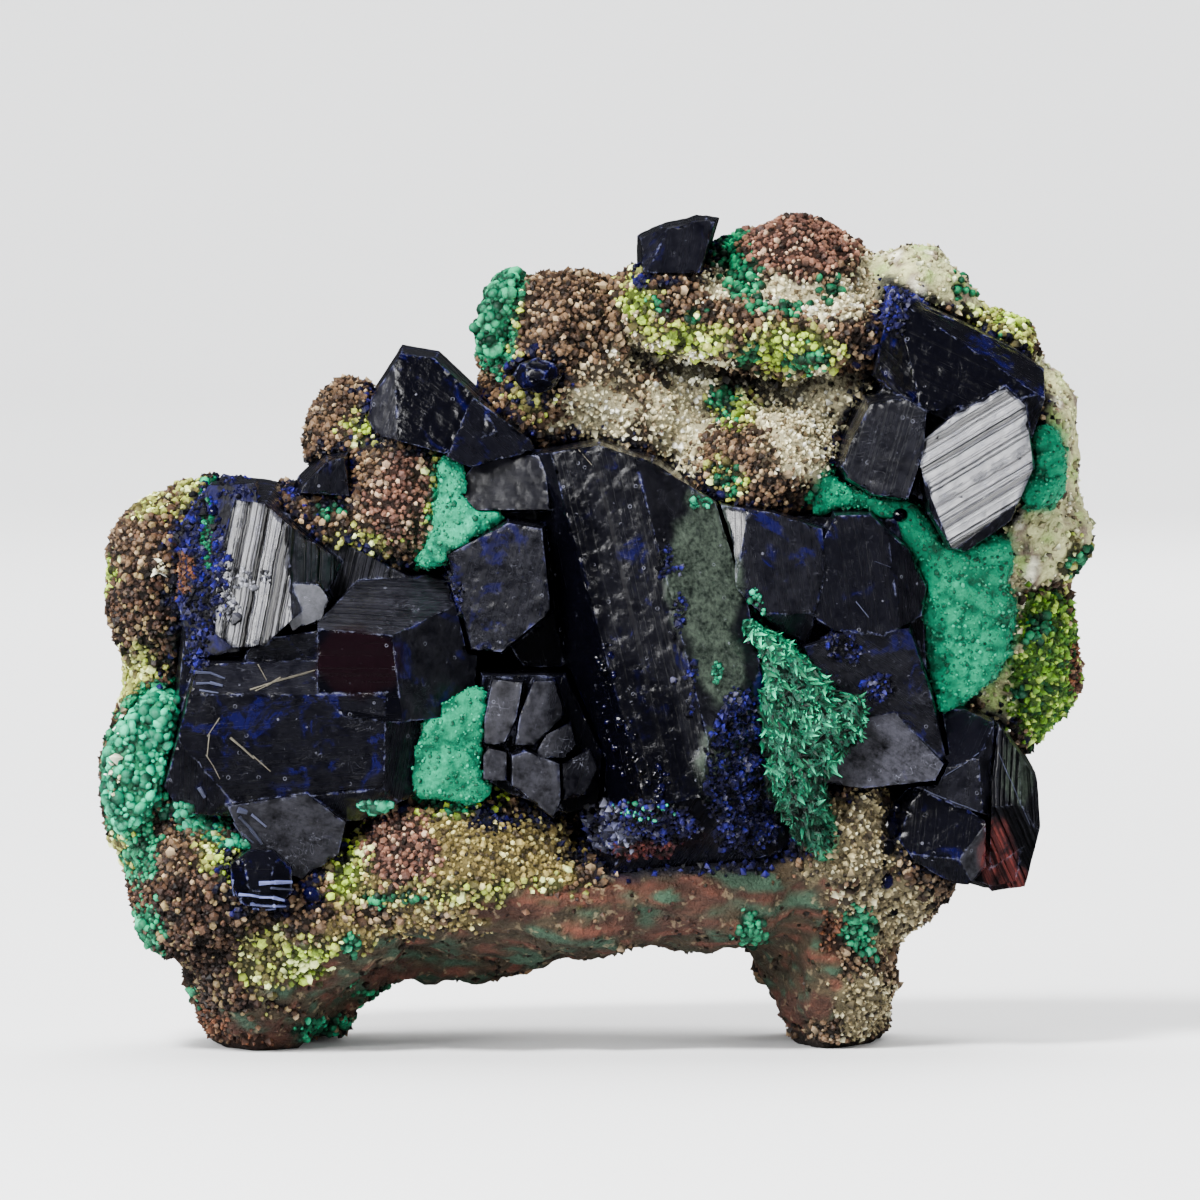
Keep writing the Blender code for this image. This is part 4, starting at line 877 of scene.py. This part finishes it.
def crystal_finish(name, gloss):
    deep = Finish(name, IOR=1.75, Specular_IOR_Level=gloss)
    across, tone, comb, rough, painted_sheen, blue, broken, bars = (deep.drawn(fact) for fact in FACTS)
    edge, coat_green, wine, rust, painted_shade = (deep.drawn(name) for name in ("edge", *STAINS_AND_SHADE))

    def lines(size, detail, shift=0.0):
        """Striae: noise that changes only across the striae."""
        return deep.node("TexNoise", {"noise_dimensions": "1D"},
                         {"W": across + shift, "Scale": 1 / size, "Detail": detail, "Roughness": 0.6})

    def middle_line(value, width, middle=0.5):
        """1 on a thin line where the value passes its middle, and 0 beside it."""
        return 1 - deep.node("Math", {"operation": "ABSOLUTE"}, {0: value - middle}).step(width * 0.3, width)

    wander = deep.noise(3.5, 3)
    scuff = deep.noise(0.30, 4, 0.7)
    mottle = deep.noise(1.3, 6, 0.7)
    hammer = deep.cells(0.42, "SMOOTH_F1")
    swell = lines(1.5, 2.0, wander * 0.35)
    bar_place = {"W": across + 0.5 * wander, "Scale": 1 / 1.25}
    from_gap = deep.node("TexVoronoi", {"voronoi_dimensions": "1D", "feature": "DISTANCE_TO_EDGE"}, bar_place, "Distance")
    bar_tone = deep.node("TexVoronoi", {"voronoi_dimensions": "1D"}, bar_place, "Color")
    gap = (1 - from_gap.step(0.03, 0.12)) * bars
    terrace = lines(0.30, 3.0).step(0.42, 0.60)
    groove = (middle_line(swell, 0.035)
              + middle_line(lines(0.75, 3.0, 11.0 + mottle * 0.1), 0.020) * mottle.step(0.42, 0.55))
    worn = (edge + 1.5 * (mottle - 0.55)).step(0.88, 1.10)
    blue_patch = (deep.noise(3.0, 6, 0.7, 0.8) + 0.3 * (blue - 0.5)).step(0.56, 0.66) * blue
    hair = (middle_line(deep.noise(2.4, 2.5, 0.5, 1.0, deep.stretched(1.0, 1.0, 2.2)), 0.006)
            + middle_line(deep.noise(1.8, 2.0, 0.5, 1.0, deep.stretched(1.8, 1.0, 1.0)), 0.005)) * wander.step(0.52, 0.62)
    ring = middle_line(deep.cells(1.1), 0.03, 0.12) * mottle.step(0.50, 0.58)
    painted_glints = (1 - deep.cells(0.5).step(0.06, 0.18)) * scuff.step(0.52, 0.62)
    coated = coat_green * (mottle + 0.5 * scuff).step(0.36, 0.60)
    body = deep.mix(tone, tint(2, 2, 5), tint(6, 6, 11))
    # Painted sheen: faces with this fact are mixed towards a grey that stands in for reflected light, and above 1, on
    # the two mirror faces, towards a light silver painted reflection.
    body = deep.mix(painted_sheen * (mottle + 0.6 * scuff).step(0.5, 1.05), body, tint(58, 58, 66))
    body = deep.mix(painted_sheen - 1, body, tint(128, 130, 134))
    body = deep.mix(blue_patch * (0.2 + 0.7 * scuff), body, tint(7, 3, 76))
    body = deep.mix(worn * (0.15 + 0.5 * blue), body, tint(12, 8, 88))
    body = deep.mix(coated, body, deep.mix((scuff * 0.7 + mottle * 0.6).step(0.45, 0.9), tint(8, 14, 13), tint(60, 70, 60)))
    body = deep.mix(wine * 0.8, body, tint(13, 4, 7))
    body = deep.mix(rust * (0.35 + 0.65 * terrace) * mottle.step(0.30, 0.55), body, tint(92, 34, 30))
    # Painted shade: inside its ovals the body is darkened to near black where the crystal lies in shadow, such as the
    # deep channel left of the large crystal, and it is made glossier there.
    body = deep.mix(painted_shade * (0.5 + 0.5 * wander), body, tint(1, 1, 3))
    # Painted highlight: a pale grey on parts of the sharp edges, where ridges would catch the light.
    painted_ridge_highlight = (edge + 0.5 * (scuff - 0.5)).step(0.92, 1.04) * mottle.step(0.45, 0.62) * (1 - painted_shade)
    body = deep.mix(painted_ridge_highlight * 0.5, body, tint(104, 108, 128))
    # Pale marks: real scratches and pit rings, and painted glints in small dots.
    body = deep.mix(hair * 0.45 * painted_sheen + ring * 0.30 + painted_glints * 0.35 * (0.2 + painted_sheen), body, tint(128, 130, 146))
    # Darker: the striae grooves, painted shade in the gaps between the bars, and some whole bars.
    body = deep.mix(groove * comb * 0.8 + gap + 0.5 * bars * bar_tone.step(0.5, 0.9), body, tint(0, 0, 2))
    crystal_rough = rough * (1 - 0.5 * painted_shade) + 0.14 * bars * bar_tone + 0.10 * scuff + 0.12 * worn + 0.15 * coated + 0.10 * groove
    height = (comb * (0.007 * swell + 0.006 * terrace - 0.040 * groove) + 0.012 * scuff * (0.3 + broken)
              + bars * (0.10 * from_gap + 0.10 * bar_tone) - 0.10 * gap
              + 0.050 * hammer * (0.05 + 1.2 * broken) + 0.060 * mottle * (0.10 + 1.2 * broken) + 0.006 * hair + 0.012 * ring
              + 0.05 * coated * (scuff + mottle))
    return deep.done(body, crystal_rough, deep.bump(height, 1.0))


azurite_dark = crystal_finish("azurite_dark", 0.16)
azurite_mirror = crystal_finish("azurite_mirror", 0.5)

# %% Dress every cluster
def spot(points, ovals, ragged, seed):
    """1 inside the ovals and 0 outside, with a ragged soft edge."""
    return ease(Zone(ovals, ragged, (0, 0, 0)).depth(points, seed), -0.1, 0.5)


SUGAR = {"azurite_centre": [(10.9, 21.2, 3.4, 6.4), (3.0, 16.9, 4.8, 2.2), (4.8, 36.4, 0.35, 2.6), (5.7, 31.8, 0.4, 2.6),
                            (6.8, 28.0, 0.6, 2.2), (-11.1, 33.2, 0.9, 3.0)],
         "azurite_left": [(-29.4, 36.0, 2.0, 5.6), (-29.8, 29.6, 1.0, 1.4), (-27.0, 41.6, 1.2, 0.6)],
         "azurite_upper_right": [(22.1, 54.8, 1.0, 2.2), (24.2, 56.4, 1.4, 0.8)],
         "azurite_right": [(18.0, 30.2, 1.5, 1.4), (20.5, 27.2, 1.5, 1.2)],
         "azurite_small_lower_left": [(-21.1, 11.7, 0.9, 0.8)]}
# Ovals seen from the front: real stains (green coat, wine, rust) and, last, painted shade.
STAIN_AND_SHADE_OVALS = {
    "green_coat": [(7.6, 35.8, 3.0, 6.0), (8.8, 29.0, 2.0, 3.0), (8.2, 21.8, 1.4, 2.4), (31.2, 21.4, 1.5, 3.0)],
    "wine": [(-17.8, 29.4, 3.4, 2.8)],
    "rust": [(29.4, 14.6, 1.5, 2.6), (30.6, 12.6, 1.6, 1.0)],
    "painted_shade": [(1.6, 22.0, 5.0, 7.5), (-1.8, 31.0, 2.4, 12.0), (4.0, 19.0, 5.0, 4.0), (28.7, 20.0, 0.6, 4.5)],
}
sugar_spots = []
for node in azurite_nodes:
    piece = faceted(node)
    points = points_of(piece.data)
    for number, (stain, ovals) in enumerate(STAIN_AND_SHADE_OVALS.items()):
        store(piece.data, stain, spot(points, ovals, 0.5, 31 + number))
    kinds = np.zeros(len(piece.data.polygons), np.int32)
    piece.data.polygons.foreach_get("material_index", kinds)
    wear(piece, azurite_dark, "azurite", node)
    if kinds.any():
        piece.data.materials.append(azurite_mirror)
        piece.data.polygons.foreach_set("material_index", kinds)
    if node in SUGAR:
        places, outward, _ = sow(piece.data, 0.30, 61)
        near = (spot(places, SUGAR[node], 0.6, 62) > 0.35) & (outward[:, 1] < 0.25)
        sugar_spots.append((places[near], outward[near]))

# %% [markdown]
# Some azurite isn't in faces at all. Beside the large crystal and along the left one it is a
# rough sugar of tiny crystals, black in the shade and deep blue where the light gets through.

# %% Azurite sugar
sugar_place, sugar_outward = (np.concatenate(part) for part in zip(*sugar_spots))
sugar_pick = np.searchsorted([-0.20, 0.18, 0.42], 0.6 * clouds(sugar_place, 1.2, 63) + chance.normal(0, 0.2, len(sugar_place)))
sugar_colour = np.array([tint(*c) for c in ((4, 4, 12), (10, 7, 54), (20, 13, 108), (72, 72, 96))])[sugar_pick]
sugar_zone = paint_rock(sugar_place)[0]
for name in ("orange", "mint"):
    here = sugar_zone == zone_names.index(name)
    sugar_colour[here] = zones[name].palette[np.array([3, 1, 0, 2])[sugar_pick[here]]]
red_foot = spot(sugar_place, [(4.6, 15.0, 4.8, 1.3), (13.2, 15.2, 1.2, 0.7)], 0.6, 65) > 0.5
sugar_colour[red_foot] = np.array([tint(*c) for c in ((30, 10, 14), (66, 22, 26), (98, 38, 30), (28, 18, 90))])[sugar_pick[red_foot]]
sugar_size = np.clip(0.20 * chance.lognormal(0, 0.3, len(sugar_place)), 0.08, 0.4)
azurite_sugar = scatter("azurite_sugar", pointed, sugar_place, sugar_outward, sugar_size, 1.1, sugar_colour, 64)
wear(azurite_sugar, druse_grains, "azurite", smooth=False)

# %% [markdown]
# ## Malachite crusts
# Malachite lines the cavities as a bright green crust. On the left edge it forms round beads, on
# the right it is a velvety sheet, and beside the central crystal it is a spray of shiny blades.
# Each crust is a fine remesh of its CAD solid with the relief of its own habit pushed into it.


# %% Grow a crust
CLOSE_GAP = 0.22


def grown_crust(node, voxel, relief):
    piece = shown(node + "_grown", welded(node))
    grid = piece.modifiers.new("grid", "REMESH")
    grid.mode, grid.voxel_size = "VOXEL", voxel * MM
    soft = piece.modifiers.new("soft", "SMOOTH")
    soft.factor, soft.iterations = 0.5, 2
    settle(piece)
    points, outward = points_of(piece.data), outward_of(piece.data)
    height = relief(points)
    move_to(piece.data, points + outward * (height + CLOSE_GAP)[:, None])
    low, high = np.percentile(height, [5, 95])
    store(piece.data, "raised", np.clip((height - low) / (high - low), 0, 1))
    return piece


def velvet(points):
    return 0.20 * pebbles(points, 1.5, 3) + 0.14 * clouds(points, 1.9, 21) + 0.10 * clouds(points, 0.6, 22)


def beads(points):
    return 0.16 * pebbles(points, 0.9, 5) + 0.2 * clouds(points, 1.6, 6) - 0.45


def blades(points):
    return 0.35 * clouds(points * [1, 0.5, 0.6], 1.1, 24) + 0.15 * clouds(points, 0.5, 25) - 0.1


# %% Finishes of the crusts
def malachite_finish(name, dark, main, light, rough, gloss):
    green = Finish(name, Specular_IOR_Level=gloss)
    raised = green.drawn("raised")
    powder = green.noise(0.35, 4, 0.6)
    shade = green.noise(1.8, 4, 0.6)
    # Painted shade: the lower parts of the relief get the dark green, broken up by noise.
    colour = green.mix((raised * 0.7 + shade * 0.6).step(0.25, 0.75), tint(*dark), tint(*main))
    colour = green.mix((powder * 0.6 + shade * 0.6).step(0.56, 0.86), colour, tint(*light))
    normal = green.bump(powder + 0.5 * green.cells(0.3), 0.12)
    return green.done(colour, rough + 0.25 * powder, normal)


velvet_green = malachite_finish("malachite_velvet", (0, 56, 38), (0, 108, 76), (4, 138, 100), 0.6, 0.15)
bright_green = malachite_finish("malachite_bright", (0, 70, 50), (2, 122, 88), (12, 158, 120), 0.5, 0.2)
knob_green = malachite_finish("malachite_dark", (0, 30, 18), (2, 84, 54), (20, 140, 92), 0.4, 0.4)
blade_green = malachite_finish("malachite_blades", (2, 16, 12), (2, 66, 48), (10, 112, 82), 0.3, 0.6)

# %% Dress every crust
crust_plan = {
    "malachite_right": (velvet, velvet_green), "malachite_upper_right": (velvet, velvet_green),
    "malachite_centre": (velvet, velvet_green), "malachite_upper_left": (velvet, bright_green),
    "malachite_fibrous": (blades, blade_green), "malachite_left_edge": (beads, knob_green),
    "malachite_knob": (beads, knob_green),
}
crusts = {}
for node, (relief, finish) in crust_plan.items():
    crusts[node] = grown_crust(node, 0.22, relief)
    wear(crusts[node], finish, "malachite", node)

# %% [markdown]
# The crusts carry their own small growth. Velvet is a layer of fine powder grains, the left edge
# and the knob are bunches of round beads, and the spray is made of hundreds of flat needles that
# fan out from its upper end, in drifts from dark to pale green, with painted shade at each root and
# towards the lower end, and the palest drifts a painted highlight.

# %% Growth on the crusts
BLADE_FAN = Vector((9.5, -10.0, 36.0))


def growth(node, spacing, seed, front=0.35):
    places, outward, _ = sow(crusts[node].data, spacing, seed)
    keep = outward[:, 1] < front
    return places[keep], outward[keep]


def colours_of(places, palette, seed, size=0.8):
    """Palette colours in drifts, the first where the noise is low."""
    drift = 0.6 * clouds(places, size, seed) + chance.normal(0, 0.22, len(places))
    bounds = np.quantile(drift, np.linspace(0, 1, len(palette) + 1)[1:-1])
    return np.array([tint(*colour) for colour in palette])[np.searchsorted(bounds, drift)]


for number, node in enumerate(("malachite_right", "malachite_upper_right", "malachite_centre", "malachite_upper_left")):
    places, outward = growth(node, 0.34, 70 + number)
    few = chance.random(len(places)) < 0.55
    places, outward = places[few], outward[few]
    size = np.clip(0.12 * chance.lognormal(0, 0.3, len(places)), 0.05, 0.24)
    palette = ((0, 70, 48), (0, 98, 68), (2, 114, 80), (6, 142, 104))
    powder = scatter(node + "_powder", rounded, places, outward, size, 0.8, colours_of(places, palette, 75), 80 + number)
    wear(powder, druse_grains, "malachite", smooth=True)

for node, mean, palette in (("malachite_left_edge", 0.31, ((0, 90, 64), (0, 126, 90), (4, 160, 118))),
                            ("malachite_knob", 0.27, ((0, 44, 28), (2, 84, 56), (24, 132, 90)))):
    places, outward = growth(node, mean * 1.7, 90)
    size = np.clip(mean * chance.lognormal(0, 0.38, len(places)), 0.14, 0.60)
    balls = scatter(node + "_beads", bead, places, outward, size, 1.0, colours_of(places, palette, 91), 92)
    wear(balls, druse_grains, "malachite", smooth=True)

places, outward = growth("malachite_fibrous", 0.27, 95, 0.2)
fan = places - np.array(BLADE_FAN)
fan /= np.linalg.norm(fan, axis=1)[:, None]
loose = chance.normal(0, 0.7, places.shape)
shine = colours_of(places, ((0, 16, 10), (0, 52, 34), (0, 104, 68), (0, 156, 106), (44, 214, 156)), 96, 1.6)
# Painted shade: the needles darken towards the lower end of the spray.
shine = shine * (0.25 + 0.75 * ease(places[:, 2], 17.0, 27.0))[:, None]
needles = scatter("malachite_needles", pointed, places, 1.1 * fan + 0.45 * outward + loose,
                  np.clip(0.095 * chance.lognormal(0, 0.45, len(places)), 0.04, 0.24), 3.4, shine, 97)
wear(needles, druse_grains, "malachite", smooth=False)

# %% [markdown]
# ## Small growths and splinters
# The last details are single small things: cream needles on the lip of the ledge, round azurite
# beads, grey-violet crystals at the foot of the large prism, loose splinters on the left slab.
# Each is known by where it is seen from the front, so a line of sight is followed until it meets
# the dressed specimen, and the thing sits there on whatever carries it.

# %% Follow the line of sight
dressed = bmesh.new()
for piece in [rock_skin, *crusts.values(), *(bpy.data.objects[node + "_grown"] for node in azurite_nodes)]:
    dressed.from_mesh(piece.data)
dressed_tree = BVHTree.FromBMesh(dressed)
dressed.free()
FAR_IN_FRONT = -60.0


def met(x, z):
    """The place and outward direction of what is seen at x, z from the front."""
    place, outward, _, _ = dressed_tree.ray_cast(Vector((x, FAR_IN_FRONT, z)) * MM, Vector((0, 1, 0)))
    return (None, None) if place is None else (place / MM, outward)


def seen_spots(ovals, count, seed):
    """Chance points inside each oval that land on the dressed specimen."""
    luck = np.random.default_rng(seed)
    rows = []
    for x, z, half_x, half_z in ovals:
        for turn, far in zip(luck.uniform(0, 2 * math.pi, count), np.sqrt(luck.random(count))):
            place, outward = met(x + half_x * far * math.cos(turn), z + half_z * far * math.sin(turn))
            if place is not None:
                rows.append((*place, *outward))
    rows = np.array(rows)
    return rows[:, :3], rows[:, 3:]


# %% Small growths
glossy = Finish("azurite_glossy", IOR=1.75, Specular_IOR_Level=0.6)
azurite_glossy = glossy.done(glossy.dim(glossy.painted("paint"), 0.6 + 0.8 * glossy.noise(0.3, 2)),
                             0.08 + 0.1 * glossy.noise(0.2, 3), glossy.bump(glossy.noise(0.25, 3), 0.04))
WHITES = ((120, 110, 84), (196, 190, 150), (232, 230, 204), (250, 250, 236))
NAVIES = ((1, 1, 4), (2, 2, 14), (4, 3, 30))
GREENS = ((0, 60, 42), (0, 92, 64), (4, 124, 90), (16, 156, 118))
SMALL_GROWTHS = {
    "lip_crystals": ([(2.3, 54.4, 0.6, 1.3), (4.5, 52.5, 1.2, 0.5), (6.8, 51.8, 1.4, 0.4), (9.4, 51.1, 1.2, 0.4),
                      (8.0, 49.6, 1.6, 0.6)],
                     22, rounded, 0.15, 1.9, WHITES, druse_grains, "matrix"),
    "foot_crystals": ([(0.2, 17.6, 1.7, 1.5), (1.2, 16.0, 2.0, 1.0)],
                      64, pointed, 0.27, 1.3, ((14, 14, 30), (38, 39, 58), (66, 68, 92), (112, 114, 136)), druse_grains, "azurite"),
    "bar_rubble": ([(-26.3, 35.4, 2.2, 0.8), (-27.3, 33.4, 0.8, 1.2)],
                   60, pointed, 0.17, 1.0, ((14, 14, 20), (50, 50, 58), (92, 93, 102), (140, 141, 150)), druse_grains, "azurite"),
    "green_chain": ([(-31.2, 18.0, 1.4, 0.9), (-29.3, 16.9, 1.5, 0.6), (-27.2, 15.8, 1.3, 0.5), (-16.6, 18.6, 1.2, 0.4)],
                    60, rounded, 0.26, 1.0, GREENS, druse_grains, "malachite"),
    "channel_bubbles": ([(0.4, 28.4, 0.7, 3.4), (1.6, 23.4, 1.3, 2.4), (3.6, 20.4, 1.6, 1.6)],
                        26, bead, 0.17, 1.0, NAVIES, azurite_glossy, "azurite"),
    "channel_glints": ([(7.4, 41.0, 0.9, 0.4), (11.6, 33.2, 0.6, 1.6), (3.2, 18.4, 2.6, 0.7), (8.6, 28.6, 0.4, 0.9)],
                       34, rounded, 0.14, 1.2, GREENS, druse_grains, "malachite"),
    "white_crystals": ([(-32.8, 36.0, 0.5, 0.5), (-35.5, 25.0, 0.7, 2.0), (-36.0, 20.5, 0.5, 1.6)],
                       22, pointed, 0.22, 1.8, WHITES, druse_grains, "matrix"),
}
for number, (name, plan) in enumerate(SMALL_GROWTHS.items()):
    ovals, count, shape, mean, height, palette, finish, slot = plan
    places, outward = seen_spots(ovals, count, 110 + number)
    size = np.clip(mean * chance.lognormal(0, 0.35, len(places)), 0.06, 0.6)
    grown_here = scatter(name, shape, places, outward, size, height, colours_of(places, palette, 120 + number), 130 + number)
    wear(grown_here, finish, slot, smooth=shape is not pointed)

# %% Round azurite beads: x, z, radius
BEADS = [(22.3, 39.9, 0.55), (18.7, 42.0, 0.42), (21.5, 16.7, 0.80), (21.3, 15.2, 0.55), (21.0, 14.2, 0.40),
         (21.2, 12.8, 0.60), (21.8, 10.4, 0.42), (-21.3, 11.9, 0.75), (-28.6, 40.3, 0.42), (22.1, 18.2, 0.45)]
met_beads = [(*met(x, z), radius) for x, z, radius in BEADS]
met_beads = [row for row in met_beads if row[0] is not None]
bead_places, bead_outward = (np.array([tuple(row[i]) for row in met_beads]) for i in (0, 1))
bead_size = np.array([row[2] for row in met_beads])
round_beads = scatter("azurite_beads", grain_shape(16, 10), bead_places, bead_outward, bead_size, 0.9,
                      colours_of(bead_places, NAVIES, 140), 141)
wear(round_beads, azurite_glossy, "azurite")

# %% [markdown]
# A splinter is a chain of short five-sided chips from one seen point to another. Each chip lies
# on the faces that carry its two ends, raised by a third of its own width.

# %% Splinters: start x and z, end x and z, width, colour
PALE, STEEL, ICE = (104, 99, 86), (66, 70, 94), (104, 112, 168)
SPLINTERS = [
    (-29.8, 28.4, -27.7, 28.2, 0.28, STEEL), (-29.6, 27.8, -27.9, 27.5, 0.26, STEEL), (-29.4, 27.2, -28.2, 27.0, 0.22, STEEL),
    (-25.7, 27.3, -21.1, 28.6, 0.20, PALE), (-25.4, 27.2, -23.6, 28.1, 0.16, PALE), (-25.2, 29.0, -24.6, 28.0, 0.12, PALE),
    (-28.1, 25.1, -28.9, 23.9, 0.13, PALE), (-28.9, 23.9, -29.0, 22.4, 0.13, PALE), (-29.0, 22.4, -28.1, 20.7, 0.12, PALE),
    (-27.2, 23.7, -25.6, 22.3, 0.22, PALE), (-25.6, 22.3, -24.4, 21.3, 0.14, PALE),
    (-25.1, 13.2, -22.9, 13.2, 0.50, ICE), (-27.1, 13.1, -27.0, 11.9, 0.36, ICE), (-26.5, 12.3, -23.3, 12.0, 0.34, ICE),
    (-26.6, 11.6, -23.2, 11.3, 0.42, ICE), (-25.6, 10.9, -23.8, 10.8, 0.30, ICE), (-24.2, 12.7, -22.8, 12.5, 0.26, STEEL),
    (-26.7, 18.6, -26.0, 18.1, 0.60, STEEL), (-26.4, 17.9, -25.1, 15.9, 0.34, STEEL), (-26.9, 17.4, -25.7, 15.9, 0.28, STEEL),
    (-27.3, 17.0, -26.4, 16.0, 0.24, PALE), (-25.6, 18.0, -24.8, 17.2, 0.24, STEEL), (-29.5, 20.0, -29.2, 19.4, 0.40, STEEL),
    (-33.2, 36.3, -32.4, 36.0, 0.22, (176, 176, 168)), (-33.0, 35.7, -32.2, 35.3, 0.20, (176, 176, 168)),
    (-3.4, 44.6, -2.6, 45.1, 0.10, PALE), (-2.6, 45.1, -1.5, 44.9, 0.10, PALE), (-1.5, 44.9, -0.7, 43.9, 0.10, PALE),
    (19.0, 33.6, 19.8, 32.6, 0.08, STEEL), (20.4, 36.6, 21.4, 36.2, 0.08, STEEL), (13.9, 40.0, 14.6, 38.6, 0.08, STEEL),
    (24.3, 19.8, 28.5, 22.7, 0.10, STEEL), (24.1, 19.6, 28.6, 17.8, 0.12, STEEL), (28.9, 23.8, 31.9, 17.0, 0.08, STEEL),
]


CHIP = 0.8


def laid_splinters(name, rows):
    """Each splinter is a chain of short chips from one seen point to another."""
    luck = np.random.default_rng(150)
    bm = bmesh.new()
    layer = bm.verts.layers.float_color.new("paint")
    for start_x, start_z, end_x, end_z, width, colour in rows:
        length = math.hypot(end_x - start_x, end_z - start_z)
        stops = max(2, int(length / CHIP) + 1)
        seen = []
        for share in np.linspace(0, 1, stops):
            off_x, off_z = luck.normal(0, 0.25 * width, 2)
            seen.append(met(start_x + share * (end_x - start_x) + off_x, start_z + share * (end_z - start_z) + off_z))
        for (start, lift), (end, end_lift) in zip(seen, seen[1:]):
            if start is None or end is None or (end - start).length > 2.5 * CHIP + 1.0:
                continue
            way = end - start
            thick = width * luck.uniform(0.55, 1.0)
            middle = (start + end) / 2 + (lift + end_lift).normalized() * thick * 0.3
            turn = way.to_track_quat("Z", "Y").to_matrix().to_4x4()
            turn.translation = middle * MM
            made = bmesh.ops.create_cone(bm, cap_ends=True, segments=5, radius1=thick * 0.5 * MM,
                                         radius2=thick * 0.34 * MM, depth=way.length * 1.15 * MM, matrix=turn)
            shade = luck.uniform(0.5, 1.1)
            for vert in made["verts"]:
                vert[layer] = (*(shade * part for part in tint(*colour)), 1.0)
    bmesh.ops.triangulate(bm, faces=bm.faces)
    return shown(name, bm)


splinter = Finish("azurite_splinter", IOR=1.7, Specular_IOR_Level=0.4)
azurite_splinter = splinter.done(splinter.dim(splinter.painted("paint"), 0.4 + 0.9 * splinter.noise(0.4, 3)),
                                 0.25 + 0.3 * splinter.noise(0.3, 2), splinter.bump(splinter.noise(0.2, 3), 0.05))
splinters = laid_splinters("azurite_splinters", SPLINTERS)
wear(splinters, azurite_splinter, "azurite", smooth=False)
